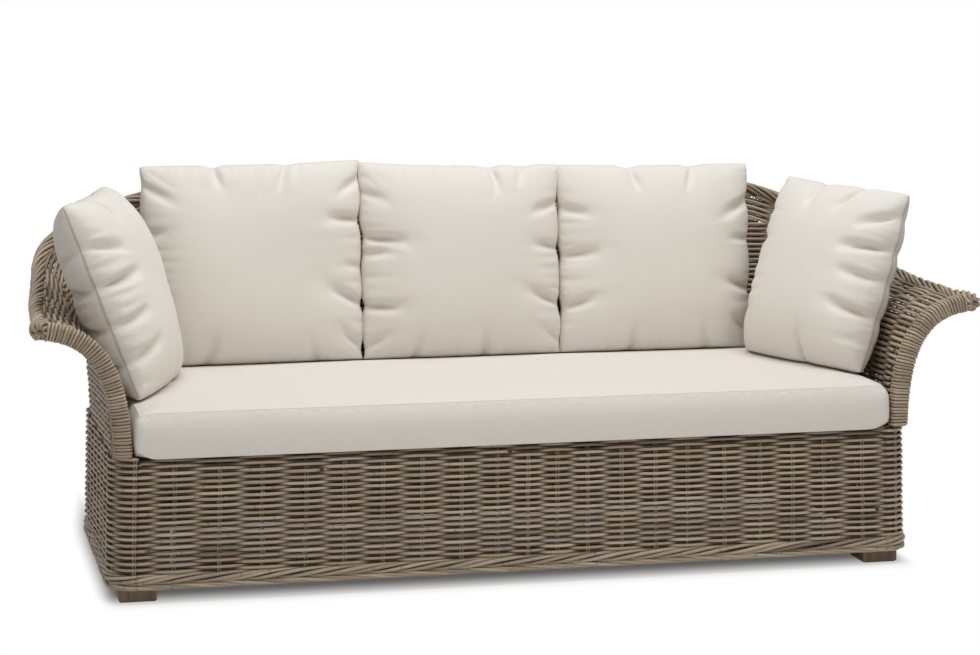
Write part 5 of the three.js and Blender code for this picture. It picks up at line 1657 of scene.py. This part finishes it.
def rattan(name, settings, gain):
    """The rattan of that name, made on first use."""
    return bpy.data.materials.get(name) or rattan_material(name, settings, gain)


def woven_rattan(settings):
    """The rattan of the base, arms and back."""
    return rattan("woven_rattan", settings, 1.05)


def cloth(settings):
    """The cloth of all the cushions, made on first use."""
    return bpy.data.materials.get("cream_cushion_cloth") or cloth_material(settings)


class SOFA_OT_weave_base(bpy.types.Operator):
    """Weaves the apron, sides and rear of the base"""
    bl_idname = "sofa.weave_base"
    bl_label = "Weave Base"

    def execute(self, context):
        settings = context.scene.rattan_sofa
        weave_base(settings, woven_rattan(settings))
        return {"FINISHED"}


class SOFA_OT_twist_border(bpy.types.Operator):
    """Twists the border along the foot of the base"""
    bl_idname = "sofa.twist_border"
    bl_label = "Twist Border"

    def execute(self, context):
        settings = context.scene.rattan_sofa
        twist_border(settings, rattan("border_rattan", settings, 0.95))
        return {"FINISHED"}


class SOFA_OT_weave_upper(bpy.types.Operator):
    """Weaves the arms and the back"""
    bl_idname = "sofa.weave_upper"
    bl_label = "Weave Arms and Back"

    def execute(self, context):
        settings = context.scene.rattan_sofa
        weave_upper(settings, woven_rattan(settings))
        return {"FINISHED"}


class SOFA_OT_twist_rims(bpy.types.Operator):
    """Twists the rims along the arms and back"""
    bl_idname = "sofa.twist_rims"
    bl_label = "Twist Rims"

    def execute(self, context):
        settings = context.scene.rattan_sofa
        twist_rims(settings, rattan("rim_rattan", settings, 1.02))
        return {"FINISHED"}


class SOFA_OT_wind_poles(bpy.types.Operator):
    """Winds cane round the arm poles"""
    bl_idname = "sofa.wind_poles"
    bl_label = "Wind Arm Poles"

    def execute(self, context):
        settings = context.scene.rattan_sofa
        wind_poles(settings, rattan("pole_cane", settings, 1.0))
        return {"FINISHED"}


class SOFA_OT_sew_seat(bpy.types.Operator):
    """Sews and fills the seat cushion"""
    bl_idname = "sofa.sew_seat"
    bl_label = "Sew Seat Cushion"

    def execute(self, context):
        settings = context.scene.rattan_sofa
        sew_seat(settings, cloth(settings))
        return {"FINISHED"}


class SOFA_OT_sew_back_cushions(bpy.types.Operator):
    """Sews and fills the three back cushions"""
    bl_idname = "sofa.sew_back_cushions"
    bl_label = "Sew Back Cushions"

    def execute(self, context):
        settings = context.scene.rattan_sofa
        sew_back_cushions(settings, cloth(settings))
        return {"FINISHED"}


class SOFA_OT_sew_arm_pillows(bpy.types.Operator):
    """Sews and fills the two arm pillows"""
    bl_idname = "sofa.sew_arm_pillows"
    bl_label = "Sew Arm Pillows"

    def execute(self, context):
        settings = context.scene.rattan_sofa
        sew_arm_pillows(settings, cloth(settings))
        return {"FINISHED"}


class SOFA_OT_finish_frame(bpy.types.Operator):
    """Gives the timber, feet, bolts and bare poles their materials"""
    bl_idname = "sofa.finish_frame"
    bl_label = "Finish Frame"

    def execute(self, context):
        finish_frame(context.scene.rattan_sofa)
        return {"FINISHED"}


class SOFA_OT_set_stage(bpy.types.Operator):
    """Sets the floor, the lights and the camera"""
    bl_idname = "sofa.set_stage"
    bl_label = "Set Stage"

    def execute(self, context):
        set_stage(context.scene.rattan_sofa)
        return {"FINISHED"}


OPERATORS = (
    SOFA_OT_finish_frame,
    SOFA_OT_weave_base,
    SOFA_OT_twist_border,
    SOFA_OT_weave_upper,
    SOFA_OT_twist_rims,
    SOFA_OT_wind_poles,
    SOFA_OT_sew_seat,
    SOFA_OT_sew_back_cushions,
    SOFA_OT_sew_arm_pillows,
    SOFA_OT_set_stage,
)


class SOFA_PT_build(bpy.types.Panel):
    """Lists the sofa's sizes, colours and operators"""
    bl_idname = "SOFA_PT_build"
    bl_label = "Rattan Sofa"
    bl_space_type = "VIEW_3D"
    bl_region_type = "UI"
    bl_category = "Sofa"

    def draw(self, context):
        settings = context.scene.rattan_sofa
        for name in settings.__annotations__:
            self.layout.prop(settings, name)
        for operator in OPERATORS:
            self.layout.operator(operator.bl_idname)


CLASSES = (RattanSofaSettings, *OPERATORS, SOFA_PT_build)


def register():
    for each in CLASSES:
        bpy.utils.register_class(each)
    bpy.types.Scene.rattan_sofa = bpy.props.PointerProperty(type=RattanSofaSettings)


def unregister():
    del bpy.types.Scene.rattan_sofa
    for each in reversed(CLASSES):
        bpy.utils.unregister_class(each)


def main():
    """Runs every operator in turn."""
    register()
    for operator in OPERATORS:
        group, name = operator.bl_idname.split(".")
        getattr(getattr(bpy.ops, group), name)()
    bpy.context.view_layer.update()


if __name__ == "__main__":
    main()
